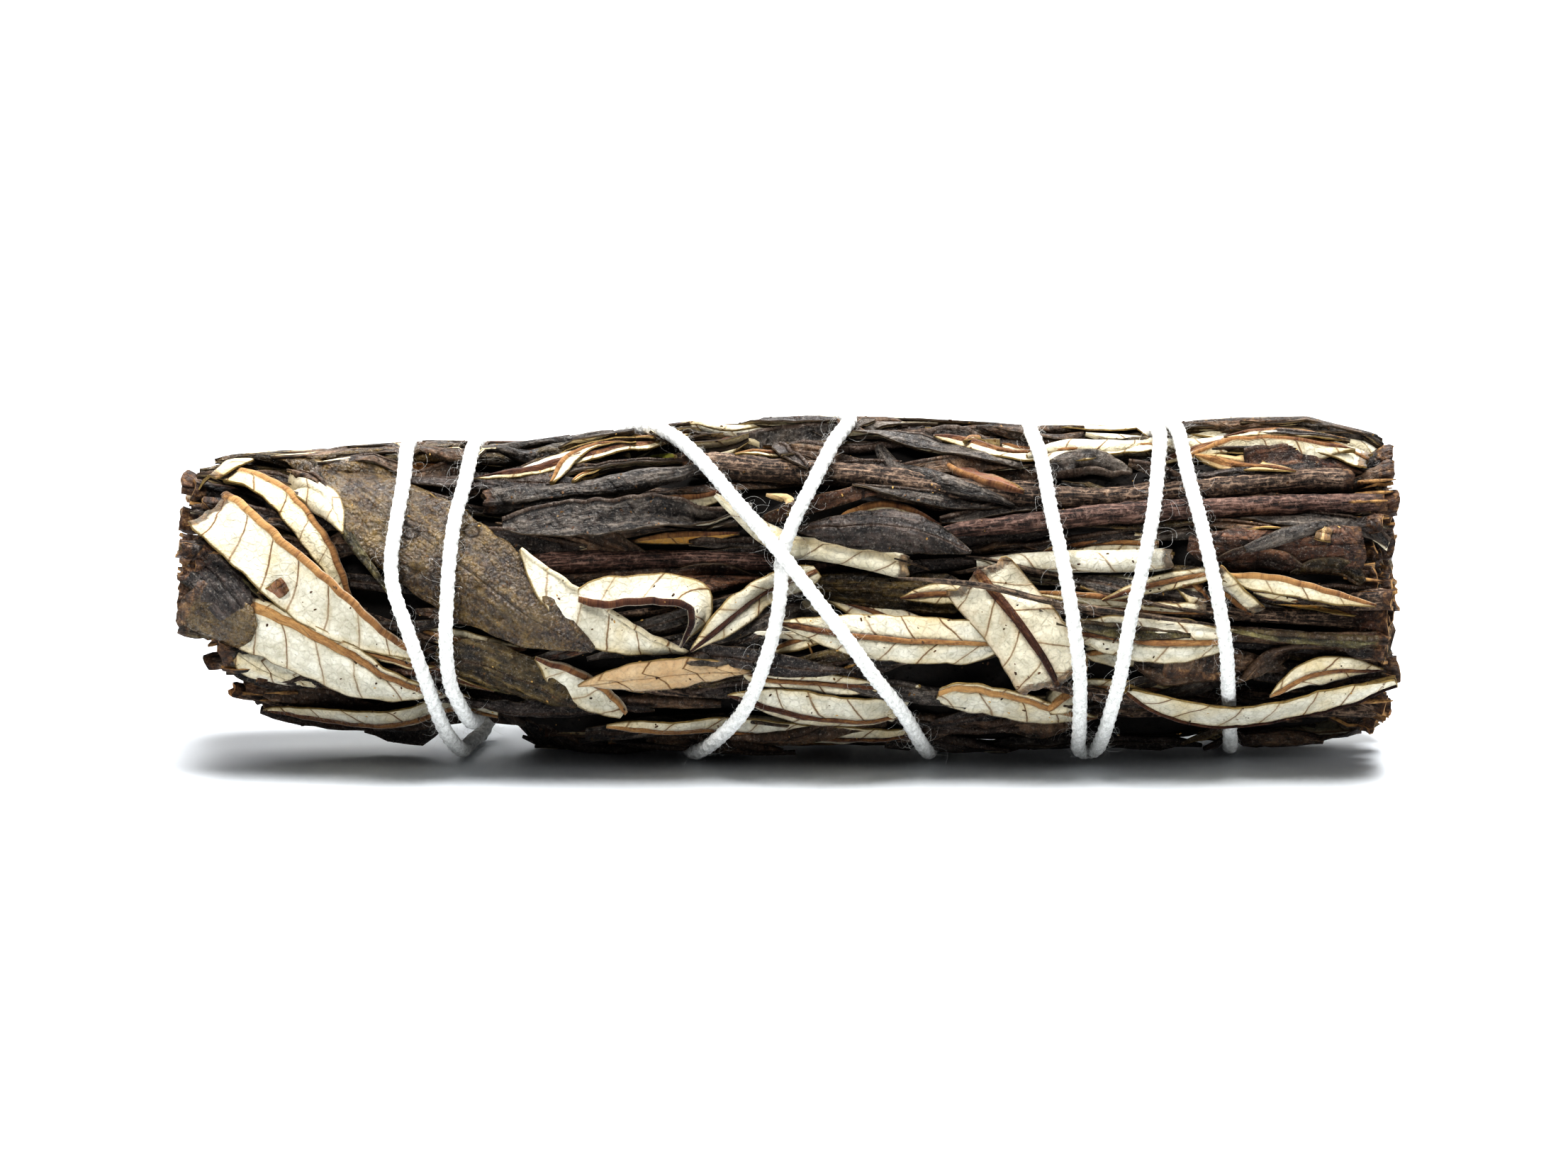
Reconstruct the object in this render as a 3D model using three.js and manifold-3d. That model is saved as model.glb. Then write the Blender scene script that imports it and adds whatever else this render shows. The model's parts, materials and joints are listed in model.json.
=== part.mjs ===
// A yerba santa smudge stick: woody stems and leathery leaves packed into a hand-sized bundle and
// bound with one length of white cotton string. Millimetres, +Z up, lying on a surface at z = 0.
//
// Places on the bundle are [x, angle] pairs. x runs along the stick. The angle, in degrees, runs
// round it: 0 is the front (-Y), 90 the top, 180 the back and 270 (or -90) the underside.
import * as THREE from "three";
import { mergeVertices } from "three/addons/utils/BufferGeometryUtils.js";
import Module from "manifold-3d";

const wasm = await Module();
wasm.setup();

// Driving dimensions
const coreHalfLength = 48; // the packed middle, without the stubs at its ends
const gapDepth = 1.4; // from the outline in to the packed middle where nothing covers it
const bladeThickness = 0.6;
const bladeArch = 0.35; // how much lower a leaf's edges lie than its middle
const stringDiameter = 1.3;
const stringProud = 0.6; // how far the string stands out of the outline
const airGap = 0.3; // between pieces that touch
const underGap = 0.25; // from the surface that the bundle lies on up to its leaves

// Outline of the bound bundle: [x, radius, height of its middle]
const outline = [
  [-51, 9.8, 14.4],
  [-46, 10.8, 14.2],
  [-40, 11.6, 13.7],
  [-30, 12.8, 13.2],
  [-22, 13, 12.9],
  [-15, 13.5, 13.4],
  [-7, 13.9, 13.8],
  [2, 14.1, 14],
  [11, 14, 13.9],
  [20, 13.7, 13.6],
  [29, 13.7, 13.6],
  [37, 14, 13.9],
  [43, 14, 14],
  [48, 13, 13.8],
  [51, 12, 13.8],
];

// Route of the string. The angle keeps growing or shrinking as the string goes round.
const stringRoute = [
  // from the knot up the back and down the front, left of the middle
  [-26.6, 161], [-22, 150], [-14, 134], [-5, 118], [2, 107], [5, 94],
  [3.5, 67], [2, 51], [0.5, 38], [-0.5, 25], [-0.6, 12], [-1, -2],
  [-2, -17], [-3.5, -34], [-6, -54], [-8, -75],
  // up the back and down the front, right of the middle
  [-8, -110], [-4, -140], [4, -170], [14, -203], [24, -235], [30, -258],
  [30.7, -278], [30.5, -296], [30, -319], [29, -341], [28, -359], [27.3, -378],
  [26.5, -396], [25.8, -415],
  // a hook under the bundle, and up the front again beside it
  [25.5, -423], [24.8, -427.5], [24.1, -423],
  [24, -405], [23.9, -378], [23.4, -360], [22.5, -338], [21.6, -320], [20.9, -297], [20, -265],
  // down the back and up the front near the right end
  [21, -238], [25, -212], [30, -176], [34, -140], [36.2, -106], [36.7, -80],
  [36.5, -58], [36.2, -31], [35.9, -10], [35.2, 8], [34.1, 30], [32.8, 57], [32.2, 85],
  // down the back and up the front, from lower right to upper left
  [31.5, 106], [29, 128], [24, 162], [18, 200], [14, 238], [12.2, 268], [11.4, 295],
  [9.5, 323], [7, 340], [4.6, 355], [2.2, 368], [-0.4, 382], [-2.3, 392], [-5, 407],
  [-8, 428], [-10.6, 449], [-13, 466],
  // down the back and up the front, second turn from the left end
  [-15.5, 484], [-17.5, 505], [-20, 540], [-22.6, 575], [-24.6, 610], [-25.4, 635], [-25.8, 656],
  [-26.8, 682], [-27.8, 698], [-28.1, 715], [-28, 730], [-27.8, 745], [-27.4, 761],
  [-26.6, 780], [-26, 810],
  // down the back and up the front, first turn from the left end, and back to the knot
  [-25.2, 845], [-24, 880], [-23.6, 915], [-24.6, 955], [-26.4, 990], [-27.3, 1013],
  [-28.2, 1029], [-29.2, 1048], [-30.2, 1064], [-31.3, 1079], [-32.4, 1094], [-32.6, 1104],
  [-32.2, 1120], [-31.7, 1139], [-31.5, 1170], [-31, 1196], [-29.8, 1222], [-27.6, 1241],
];
const knotPlace = [-27.1, 160];
const tailRoutes = [
  [[-27.4, 162], [-29.6, 169], [-32.5, 177], [-34.2, 188]],
  [[-26.9, 161], [-26.8, 173], [-28.2, 184], [-27.6, 198]],
];

// How a piece ends: [share of its full width at the tip, part of its length that narrows]
const endShapes = {
  point: [0.16, 0.5],
  taper: [0.4, 0.3],
  round: [0.5, 0.14],
  cut: [0.88, 0.06],
};

// The leaves, stems and twigs, innermost first. width is the full width. rib is where
// the midrib lies across the leaf, from -1 to 1, with 1 on the left hand along the route.
const pieces = [
  // stems and twigs against the packed middle
  { name: "stem_01", form: "stem", width: 2.3, ends: ["cut", "cut"],
    route: [[-9, 74], [-0.5, 66], [6.5, 62], [14.5, 57], [20.5, 56], [30, 58], [38, 60], [47, 62]] },
  { name: "stem_02", form: "stem", width: 2, ends: ["taper", "cut"],
    route: [[10, 33], [15, 38], [20.5, 42], [29.5, 46], [36, 46.5], [43, 48], [49.5, 51]] },
  { name: "stem_03", form: "stem", width: 1.8, ends: ["cut", "cut"],
    route: [[-21.5, 26], [-11.5, 27], [-1.5, 26], [5, 24]] },
  { name: "stem_04", form: "stem", width: 1.7, ends: ["cut", "cut"],
    route: [[20, -54], [27.5, -54], [37.5, -56], [50.3, -54]] },
  { name: "stem_05", form: "stem", width: 1.4, ends: ["cut", "cut"],
    route: [[30, 5], [36, 1], [42.5, -2], [49, -4]] },
  { name: "stem_06", form: "stem", width: 2, ends: ["taper", "cut"],
    route: [[-11, 93], [-3.5, 96], [4.5, 95], [14, 91]] },
  { name: "stem_07", form: "stem", width: 2.5, ends: ["cut", "cut"],
    route: [[-32.5, 87], [-29.5, 86], [-24, 85]] },
  { name: "stem_08", form: "stem", width: 2.4, ends: ["cut", "cut"],
    route: [[-49, 172], [-30, 176], [-10, 178], [8, 174]] },
  { name: "stem_09", form: "stem", width: 2.6, ends: ["cut", "taper"],
    route: [[50, 178], [38, 181], [26, 178], [13, 183]] },
  // dark leaves of the lower layer
  { name: "dark_leaf_01", form: "fold", width: 2.3, rib: 1, ends: ["taper", "point"],
    route: [[-23.5, 42], [-20, 42.5], [-14, 42], [-8, 46], [-3, 51]] },
  { name: "dark_leaf_02", form: "blade", width: 5.8, rib: 0.2, ends: ["cut", "cut"],
    route: [[-50.6, -1], [-47.5, -2], [-44, -3]] },
  { name: "dark_leaf_03", form: "roll", width: 2.8, ends: ["cut", "point"],
    route: [[-47, -28], [-43, -34], [-39, -41], [-34, -47], [-28, -49]] },
  { name: "dark_leaf_04", form: "blade", width: 3, rib: 0, ends: ["point", "point"],
    route: [[-46, 93], [-42, 91], [-38, 84], [-33.5, 78]] },
  { name: "dark_leaf_05", form: "roll", width: 2.6, ends: ["cut", "point"],
    route: [[-25.5, 57], [-21, 57], [-15, 58], [-10, 61], [-6, 65]] },
  { name: "dark_leaf_06", form: "blade", width: 2.4, rib: 0, ends: ["point", "point"],
    route: [[-29, -38], [-24, -42], [-18, -44], [-11, -45]] },
  { name: "dark_leaf_07", form: "blade", width: 4.8, rib: 0.2, ends: ["round", "round"],
    route: [[0.6, 10], [5, 10], [10, 9], [15, 8]] },
  { name: "dark_leaf_08", form: "blade", width: 2.8, rib: 0.5, ends: ["taper", "cut"],
    route: [[33, -10], [38, -11], [43, -12], [49.5, -13]] },
  { name: "dark_leaf_09", form: "blade", width: 4, rib: 0.3, ends: ["taper", "point"],
    route: [[28.5, -18], [32, -20], [36, -22], [41, -24]] },
  { name: "dark_leaf_10", form: "blade", width: 6, rib: 0, ends: ["cut", "point"],
    route: [[-48, 118], [-38, 124], [-28, 120], [-17, 111]] },
  { name: "dark_leaf_11", form: "blade", width: 6.4, rib: 0, ends: ["cut", "point"],
    route: [[-47, 230], [-35, 237], [-22, 235], [-8, 226]] },
  { name: "dark_leaf_12", form: "blade", width: 6, rib: 0, ends: ["point", "round"],
    route: [[-17, 133], [-4, 128], [8, 122], [20, 114]] },
  { name: "dark_leaf_13", form: "blade", width: 6.5, rib: 0, ends: ["point", "point"],
    route: [[-10, 208], [4, 200], [16, 203], [29, 213]] },
  { name: "dark_leaf_14", form: "blade", width: 5, rib: 0, ends: ["point", "cut"],
    route: [[10, 262], [22, 260], [34, 262], [48.5, 266]] },
  { name: "dark_leaf_15", form: "blade", width: 5.5, rib: 0, ends: ["point", "cut"],
    route: [[25, 152], [34, 160], [43, 154], [49.5, 150]] },
  // pale leaves of the lower layer
  { name: "pale_leaf_01", form: "blade", width: 3.8, rib: 0.8, ends: ["cut", "point"],
    route: [[-45.5, -5], [-41.5, -12], [-38, -20], [-34, -29], [-28.5, -33]] },
  { name: "pale_leaf_02", form: "blade", width: 2.6, rib: 0, ends: ["point", "round"],
    route: [[-43.5, -66], [-38, -60], [-31, -57], [-24, -57]] },
  { name: "pale_leaf_03", form: "blade", width: 2.8, rib: -0.7, ends: ["point", "taper"],
    route: [[-26, 68], [-21, 73], [-17, 80], [-13, 89], [-8, 99]] },
  { name: "pale_leaf_04", form: "blade", width: 3.2, rib: -0.6, ends: ["point", "round"],
    route: [[-5, -32], [-0.5, -36], [4, -40], [9, -43]] },
  { name: "pale_leaf_05", form: "blade", width: 3.2, rib: 0, ends: ["point", "point"],
    route: [[-15, -46], [-7, -53], [1, -57], [12, -58]] },
  { name: "pale_leaf_06", form: "roll", width: 2.1, ends: ["taper", "cut"],
    route: [[15.5, 24], [20, 25], [26, 25], [32, 25]] },
  { name: "pale_leaf_07", form: "blade", width: 3.2, rib: 0, ends: ["point", "taper"],
    route: [[21.5, -4], [26, -6], [30.5, -8], [36, -9]] },
  { name: "pale_leaf_08", form: "blade", width: 2.8, rib: 0.9, ends: ["round", "point"],
    route: [[12.3, -30], [16, -33], [20, -38], [25.5, -47]] },
  { name: "pale_leaf_09", form: "blade", width: 3, rib: 0, ends: ["point", "cut"],
    route: [[30, 79], [36, 82], [42, 80], [48.5, 74]] },
  { name: "pale_leaf_10", form: "blade", width: 3, rib: 0, ends: ["point", "round"],
    route: [[12, 82], [18, 76], [24, 77], [30.5, 84]] },
  { name: "pale_leaf_11", form: "blade", width: 6.5, rib: 0, ends: ["cut", "point"],
    route: [[-48, 150], [-37, 144], [-25, 147], [-12, 158]] },
  { name: "pale_leaf_12", form: "blade", width: 6, rib: 0, ends: ["cut", "round"],
    route: [[-48.5, 198], [-38, 205], [-26, 206], [-14, 199]] },
  { name: "pale_leaf_13", form: "blade", width: 5, rib: 0, ends: ["round", "point"],
    route: [[-42, 262], [-30, 265], [-18, 263], [-4, 268]] },
  { name: "pale_leaf_14", form: "blade", width: 6.5, rib: 0, ends: ["point", "point"],
    route: [[-14, 152], [0, 158], [13, 150], [26, 140]] },
  { name: "pale_leaf_15", form: "blade", width: 6.5, rib: 0, ends: ["point", "point"],
    route: [[-12, 240], [4, 245], [18, 240], [31, 231]] },
  { name: "pale_leaf_16", form: "blade", width: 6, rib: 0, ends: ["point", "cut"],
    route: [[21, 124], [31, 121], [41, 123], [49.5, 128]] },
  { name: "pale_leaf_17", form: "blade", width: 5.6, rib: 0, ends: ["point", "cut"],
    route: [[28, 207], [37, 201], [44, 205], [50, 211]] },
  { name: "pale_leaf_18", form: "blade", width: 5.2, rib: 0, ends: ["point", "cut"],
    route: [[27, 242], [36, 237], [44, 240], [49.5, 243]] },
  // the leaves that lie over them, front
  { name: "pale_leaf_19", form: "fold", width: 2.6, rib: 1, ends: ["cut", "point"],
    route: [[-47.2, 75], [-44.5, 69], [-42, 59], [-40, 45], [-38, 28], [-36.6, 12], [-35.6, 0]] },
  { name: "pale_leaf_20", form: "fold", width: 4, rib: 1, ends: ["cut", "point"],
    route: [[-48, 57], [-45, 39], [-41.5, 21.5], [-38, 7], [-34.5, -5], [-30, -15]] },
  { name: "dark_leaf_16",
    strips: [
      { form: "blade", width: 8.2, rib: 0, ends: ["taper", "point"],
        route: [[-38.8, 76], [-35, 58], [-31.5, 42], [-28, 28], [-24.5, 16], [-21, 4], [-16, -9]] },
      { form: "fold", width: 2.5, rib: 1, ends: ["point", "point"],
        route: [[-22, 31], [-20, 18], [-17, 4], [-13.5, -7], [-8, -15.5]] },
      { form: "fold", width: 1.7, rib: -1, ends: ["taper", "point"],
        route: [[-40.3, 73], [-38.6, 60], [-37, 45], [-35.4, 31], [-33.6, 20]] },
    ] },
  { name: "dark_leaf_17",
    strips: [
      { form: "blade", width: 4.2, rib: 0, ends: ["taper", "point"],
        route: [[-29, -13], [-25, -15], [-21, -23], [-17.5, -35]] },
      { form: "fold", width: 2.1, rib: 1, ends: ["point", "taper"],
        route: [[-20.8, -12], [-18.6, -22], [-16.4, -32], [-13.6, -41]] },
    ] },
  { name: "pale_leaf_21", form: "blade", width: 2.7, rib: 0, ends: ["point", "point"],
    route: [[-17.3, -24], [-12.5, -21.5], [-8, -20.5], [-3, -22.5]] },
  { name: "pale_leaf_22", form: "fold", width: 2.2, rib: -1, ends: ["round", "point"],
    route: [[-17.2, 12], [-13.5, 12.5], [-10, 12.5], [-7.6, 9], [-7.2, 1], [-8.8, -10]] },
  { name: "pale_leaf_23", form: "blade", width: 3.1, rib: 0, ends: ["point", "round"],
    route: [[-8, -11], [-5.5, -3], [-3, 5], [-0.5, 13], [2.4, 19]] },
  { name: "pale_leaf_24", form: "roll", width: 1.8, ends: ["point", "cut"],
    route: [[-6, 50], [-3.2, 42.5], [-0.5, 35.5], [4, 30], [10.4, 21]] },
  { name: "dark_leaf_18", form: "blade", width: 3.8, rib: 0.1, ends: ["point", "point"],
    route: [[0.5, 37], [4.5, 35], [8, 34], [11.5, 31], [15, 25]] },
  { name: "pale_leaf_25", form: "blade", width: 4.4, rib: 0.05, ends: ["point", "round"],
    route: [[-1, -3.5], [3, -6], [8, -8], [13, -9.5], [17.4, -12]] },
  { name: "pale_leaf_26", form: "blade", width: 5.8, rib: 0.05, ends: ["round", "round"],
    route: [[15.2, 19], [17, 9], [19, -2], [20.6, -12], [22.2, -26]] },
  { name: "twig_01", form: "stem", width: 0.9, ends: ["taper", "taper"],
    route: [[9, 15], [16, 13], [22.5, 7], [30.5, 1.5], [35, -2]] },
  { name: "brown_leaf_01", form: "blade", width: 3.8, rib: 0.1, ends: ["taper", "cut"],
    route: [[32.8, 29], [37.5, 26], [42, 26], [47.8, 28]] },
  { name: "pale_leaf_27", form: "fold", width: 2.3, rib: 1, ends: ["taper", "taper"],
    route: [[35.6, 16], [40, 12], [44, 8.5], [48, 4.5]] },
  { name: "pale_leaf_28", form: "blade", width: 2.4, rib: 0, ends: ["point", "point"],
    route: [[39.6, -31], [42.5, -24], [45.5, -23], [49, -28.5]] },
];

// This leaf passes over the string.
const leafOverString = { name: "pale_leaf_29", form: "fold", width: 2, rib: 1, ends: ["taper", "taper"],
  route: [[28, -28], [32, -37], [36.3, -42], [40.5, -39.5], [46, -34.5], [50, -30]] };

// Colours of the plain materials
const materials = {
  core: new THREE.MeshStandardMaterial({ color: 0x2a1f18, roughness: 0.9 }),
  stem: new THREE.MeshStandardMaterial({ color: 0x4a3128, roughness: 0.85 }),
  twig: new THREE.MeshStandardMaterial({ color: 0x5a4030, roughness: 0.85 }),
  pale: new THREE.MeshStandardMaterial({ color: 0xe4dfcf, roughness: 0.95 }),
  dark: new THREE.MeshStandardMaterial({ color: 0x4a3d24, roughness: 0.45 }),
  brown: new THREE.MeshStandardMaterial({ color: 0x5f3b26, roughness: 0.8 }),
  string: new THREE.MeshStandardMaterial({ color: 0xf7f5f0, roughness: 0.95 }),
};

const toRadians = (degrees) => (degrees * Math.PI) / 180;
const { clamp, lerp } = THREE.MathUtils;

// Numbers from 0 to 1, the same on each run
function seededRandom(seed) {
  let state = seed;
  return () => {
    state = (state * 1664525 + 1013904223) % 4294967296;
    return state / 4294967296;
  };
}

// A column of the outline table at x, in straight lines between its rows
function outlineAt(x, column) {
  const last = outline.length - 1;
  if (x <= outline[0][0]) return outline[0][column];
  if (x >= outline[last][0]) return outline[last][column];
  const i = outline.findIndex((row) => row[0] > x);
  const share = (x - outline[i - 1][0]) / (outline[i][0] - outline[i - 1][0]);
  return lerp(outline[i - 1][column], outline[i][column], share);
}
const bundleRadius = (x) => outlineAt(x, 1);
const axisHeight = (x) => outlineAt(x, 2);

// The radius at which a place would reach a level height, for places on the lower half
function radiusAtHeight(x, angle, height) {
  const down = -Math.sin(toRadians(angle));
  return down > 0.3 ? (axisHeight(x) - height) / down : Infinity;
}
const outlineRadius = (x, angle) => Math.min(bundleRadius(x), radiusAtHeight(x, angle, underGap));

// Millimetres round the bundle for a degree at x
const arcPerDegree = (x) => toRadians(bundleRadius(x));

// The shortest way round from one angle to another, in degrees
const angleBetween = (a, b) => ((((a - b + 180) % 360) + 360) % 360) - 180;

function toSpace({ x, angle, r }) {
  const a = toRadians(angle);
  return new THREE.Vector3(x, -r * Math.cos(a), axisHeight(x) + r * Math.sin(a));
}

// A smooth line through [x, angle] points, as stations { x, angle, tx, ts, share }, where tx and
// ts are its direction along and round the bundle. They are closer where it turns by turnLimit.
function followRoute(route, step, turnLimit = Infinity) {
  const meanArc = arcPerDegree(route[route.length >> 1][0]);
  const points = route.map(([x, angle]) => new THREE.Vector3(x, angle * meanArc, 0));
  const curve = new THREE.CatmullRomCurve3(points, false, "centripetal");
  const length = curve.getLength();
  const fine = curve.getSpacedPoints(Math.ceil(length / 0.25));
  const last = fine.length - 1;
  const directions = fine.map((_, i) =>
    fine[Math.min(i + 1, last)].clone().sub(fine[Math.max(i - 1, 0)]).normalize());
  const spacing = length / Math.max(3, Math.round(length / step));
  const kept = [0];
  let walked = 0;
  for (let i = 1; i <= last; i++) {
    walked += fine[i].distanceTo(fine[i - 1]);
    const turned = directions[i].angleTo(directions[kept.at(-1)]);
    if (walked < spacing - 0.13 && turned < turnLimit) continue;
    kept.push(i);
    walked = 0;
  }
  if (last - kept.at(-1) < 5) kept.pop();
  kept.push(last);
  return kept.map((i) => ({
    x: fine[i].x, angle: fine[i].y / meanArc, tx: directions[i].x, ts: directions[i].y, share: i / last,
  }));
}

// The place at a distance to the left of a station
function beside(station, distance) {
  return {
    x: station.x - distance * station.ts,
    angle: station.angle + (distance * station.tx) / arcPerDegree(station.x),
  };
}

// A closed solid through rings of points. Each ring runs over the outer face and back along the
// inner one, and both faces are split into triangles alike.
function solidThroughRings(rings) {
  const m = rings[0].length;
  const n = m / 2;
  const index = [];
  const at = (i, k) => i * m + (k % m);
  for (let i = 0; i < rings.length - 1; i++)
    for (let k = 0; k < m; k++) {
      const [a, b, c, d] = [at(i, k), at(i + 1, k), at(i + 1, k + 1), at(i, k + 1)];
      if (k < n) index.push(a, b, c, a, c, d);
      else index.push(a, b, d, b, c, d);
    }
  const last = rings.length - 1;
  for (let j = 0; j < n - 1; j++) {
    const [outerA, outerB, innerA, innerB] = [j, j + 1, m - 1 - j, m - 2 - j];
    index.push(at(last, innerA), at(last, innerB), at(last, outerB));
    index.push(at(last, innerA), at(last, outerB), at(last, outerA));
    index.push(innerA, outerB, innerB, innerA, outerA, outerB);
  }
  return toSolid(rings.flat(), index);
}

function toSolid(points, index) {
  const geometry = new THREE.BufferGeometry().setFromPoints(points).setIndex(index);
  const merged = mergeVertices(geometry, 1e-4);
  return new wasm.Manifold(new wasm.Mesh({
    numProp: 3,
    vertProperties: new Float32Array(merged.attributes.position.array),
    triVerts: new Uint32Array(merged.index.array),
  }));
}

// Solids joined into one, without the shortest edges that joining leaves
const join = (solids) => solids.reduce((whole, part) => whole.add(part)).simplify(0.01);

function toMesh(name, solid, material) {
  const { vertProperties, triVerts } = solid.getMesh();
  const geometry = new THREE.BufferGeometry();
  geometry.setAttribute("position", new THREE.BufferAttribute(vertProperties, 3));
  geometry.setIndex(new THREE.BufferAttribute(triVerts, 1));
  geometry.computeVertexNormals();
  const mesh = new THREE.Mesh(geometry, material);
  mesh.name = name;
  return mesh;
}

// The ceiling is the innermost face laid so far over each place, as a radius. Pieces are laid
// from the outside in, each under the ceiling, so that the bundle keeps its outline.
const ceiling = {
  xStep: 0.5, angleStep: 2, xMin: -56, columns: 225, rows: 180,
  radius: new Float64Array(225 * 180),
  cell(i, k) {
    const row = ((k % this.rows) + this.rows) % this.rows;
    return clamp(i, 0, this.columns - 1) * this.rows + row;
  },
  startAtOutline() {
    for (let i = 0; i < this.columns; i++)
      for (let k = 0; k < this.rows; k++)
        this.radius[this.cell(i, k)] = outlineRadius(this.xMin + i * this.xStep, k * this.angleStep);
  },
  // the lowest point within a reach, in millimetres along and round the bundle
  lowest({ x, angle }, reach, reachX = reach) {
    const spread = reach / arcPerDegree(x);
    const i0 = Math.round((x - reachX - this.xMin) / this.xStep);
    const i1 = Math.round((x + reachX - this.xMin) / this.xStep);
    const k0 = Math.round((angle - spread) / this.angleStep);
    const k1 = Math.round((angle + spread) / this.angleStep);
    let low = Infinity;
    for (let i = i0; i <= i1; i++)
      for (let k = k0; k <= k1; k++) low = Math.min(low, this.radius[this.cell(i, k)]);
    return low;
  },
  lowerToTriangle(a, b, c) {
    const area = (b.x - a.x) * (c.angle - a.angle) - (c.x - a.x) * (b.angle - a.angle);
    if (Math.abs(area) < 1e-6) return;
    const i0 = Math.floor((Math.min(a.x, b.x, c.x) - this.xMin) / this.xStep);
    const i1 = Math.ceil((Math.max(a.x, b.x, c.x) - this.xMin) / this.xStep);
    const k0 = Math.floor(Math.min(a.angle, b.angle, c.angle) / this.angleStep);
    const k1 = Math.ceil(Math.max(a.angle, b.angle, c.angle) / this.angleStep);
    for (let i = i0; i <= i1; i++)
      for (let k = k0; k <= k1; k++) {
        const x = this.xMin + i * this.xStep;
        const angle = k * this.angleStep;
        const u = ((x - a.x) * (c.angle - a.angle) - (c.x - a.x) * (angle - a.angle)) / area;
        const v = ((b.x - a.x) * (angle - a.angle) - (x - a.x) * (b.angle - a.angle)) / area;
        if (u < -0.1 || v < -0.1 || u + v > 1.1) continue;
        const cell = this.cell(i, k);
        this.radius[cell] = Math.min(this.radius[cell], a.r + u * (b.r - a.r) + v * (c.r - a.r));
      }
  },
  // lowers the ceiling to a piece, given as rings of places with a radius
  lowerTo(rings) {
    for (let i = 0; i < rings.length - 1; i++)
      for (let k = 0; k < rings[i].length; k++) {
        const next = (k + 1) % rings[i].length;
        this.lowerToTriangle(rings[i][k], rings[i + 1][k], rings[i + 1][next]);
        this.lowerToTriangle(rings[i][k], rings[i + 1][next], rings[i][next]);
      }
  },
};
ceiling.startAtOutline();

// What is laid so far, and what a new solid cuts

const laid = [];
const overlapAllowed = 0.002;
const pushStep = 0.1;

function keep(name, solid) {
  laid.push({ name, solid, box: solid.boundingBox() });
}

// The box of the first overlap between a solid and what is laid
function firstClash(solid) {
  const box = solid.boundingBox();
  const meets = (other) => [0, 1, 2].every((axis) =>
    box.min[axis] <= other.max[axis] && other.min[axis] <= box.max[axis]);
  for (const other of laid) {
    if (!meets(other.box)) continue;
    const common = solid.intersect(other.solid);
    if (common.volume() > overlapAllowed) return common.boundingBox();
  }
  return null;
}

const isNear = (p, { min, max }, margin) =>
  [p.x, p.y, p.z].every((v, axis) => v > min[axis] - margin && v < max[axis] + margin);

// Builds a solid, and pushes in the parts of it that cut a neighbour until it is clear.
function buildClear(name, build, pushIn) {
  let solid = build();
  for (let attempt = 0; attempt < 60; attempt++) {
    const clash = firstClash(solid);
    if (!clash) return solid;
    pushIn(clash);
    solid = build();
  }
  throw new Error(`${name} does not come clear of its neighbours`);
}

// Leaves, stems and twigs

// The share of its full width that a piece has at a part of its length
function widthShare(ends, share) {
  const [start, end] = ends.map((name) => endShapes[name]);
  const grown = ([tip, part], distance) =>
    tip + (1 - tip) * Math.sin((Math.min(1, distance / part) * Math.PI) / 2);
  return grown(start, share) * grown(end, 1 - share);
}

// A piece's section, as points across it: each has where the outer and the inner face lie, from
// -1 to 1, and how high they are against the ceiling
const sections = {
  blade({ width, rib }) {
    const wide = [-1, -0.5, clamp(rib, -0.3, 0.3), 0.5, 1];
    const across = width > 4.5 ? wide : [-1, clamp(rib, -0.6, 0.6), 1];
    return across.map((a) => {
      const face = -bladeArch * a * a - 0.15;
      const onRib = Math.abs(a - rib) < 0.45 && Math.abs(a) < 1;
      return { outer: [a, face + (onRib ? 0.15 : 0)], inner: [a, face - bladeThickness] };
    });
  },
  fold({ rib }) {
    return [-1, 0, 1].map((a) => ({ outer: [a, -0.25 * (1 - a * rib)], inner: [a, -1.15] }));
  },
  roll({ width }) {
    const height = 0.85 * width;
    return [-1, 0, 1].map((a) => ({
      outer: [a, a ? -0.36 * height : 0], inner: [0.75 * a, -height * (a ? 0.84 : 1)],
    }));
  },
  stem({ width }) {
    return [-1, 0, 1].map((a) => ({
      outer: [a, a ? -0.34 * width : 0], inner: [0.85 * a, -width * (a ? 0.8 : 1)],
    }));
  },
};
const isRound = ({ form }) => form === "roll" || form === "stem";
const stationSteps = { blade: 3.9, fold: 3.8, roll: 3.8, stem: 5 };
const bendGive = { blade: 0.25, fold: 0.2, roll: 0.12, stem: 0.05 };

// Pushes rows of radii in until none stands out of the line between its neighbours by more than
// give, which is how far the piece bends.
function stiffen(levels, give) {
  for (let round = 0; round < 12; round++)
    for (let i = 1; i < levels.length - 1; i++)
      levels[i] = levels[i].map((r, j) => Math.min(r, (levels[i - 1][j] + levels[i + 1][j]) / 2 + give));
}

// The level of a strip's outer face, under the ceiling, at each of its stations
function levelsUnderCeiling(strip, stations, section) {
  const levels = stations.map((station) => {
    const half = (strip.width / 2) * widthShare(strip.ends, station.share);
    const radii = section.map(({ outer }) => {
      const place = beside(station, outer[0] * half);
      return ceiling.lowest(place, 0.5) - airGap;
    });
    return isRound(strip) ? radii.map(() => Math.min(...radii)) : radii;
  });
  stiffen(levels, bendGive[strip.form]);
  return levels;
}

// Rings of { x, angle, r } for a strip
function stripRings(strip, stations, section, levels) {
  return stations.map((station, i) => {
    const half = Math.max(0.3, (strip.width / 2) * widthShare(strip.ends, station.share));
    const face = (key) => section.map((point, j) => {
      const [across, height] = point[key];
      return { ...beside(station, across * half), r: levels[i][j] + height };
    });
    return [...face("outer"), ...face("inner").toReversed()];
  });
}

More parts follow.
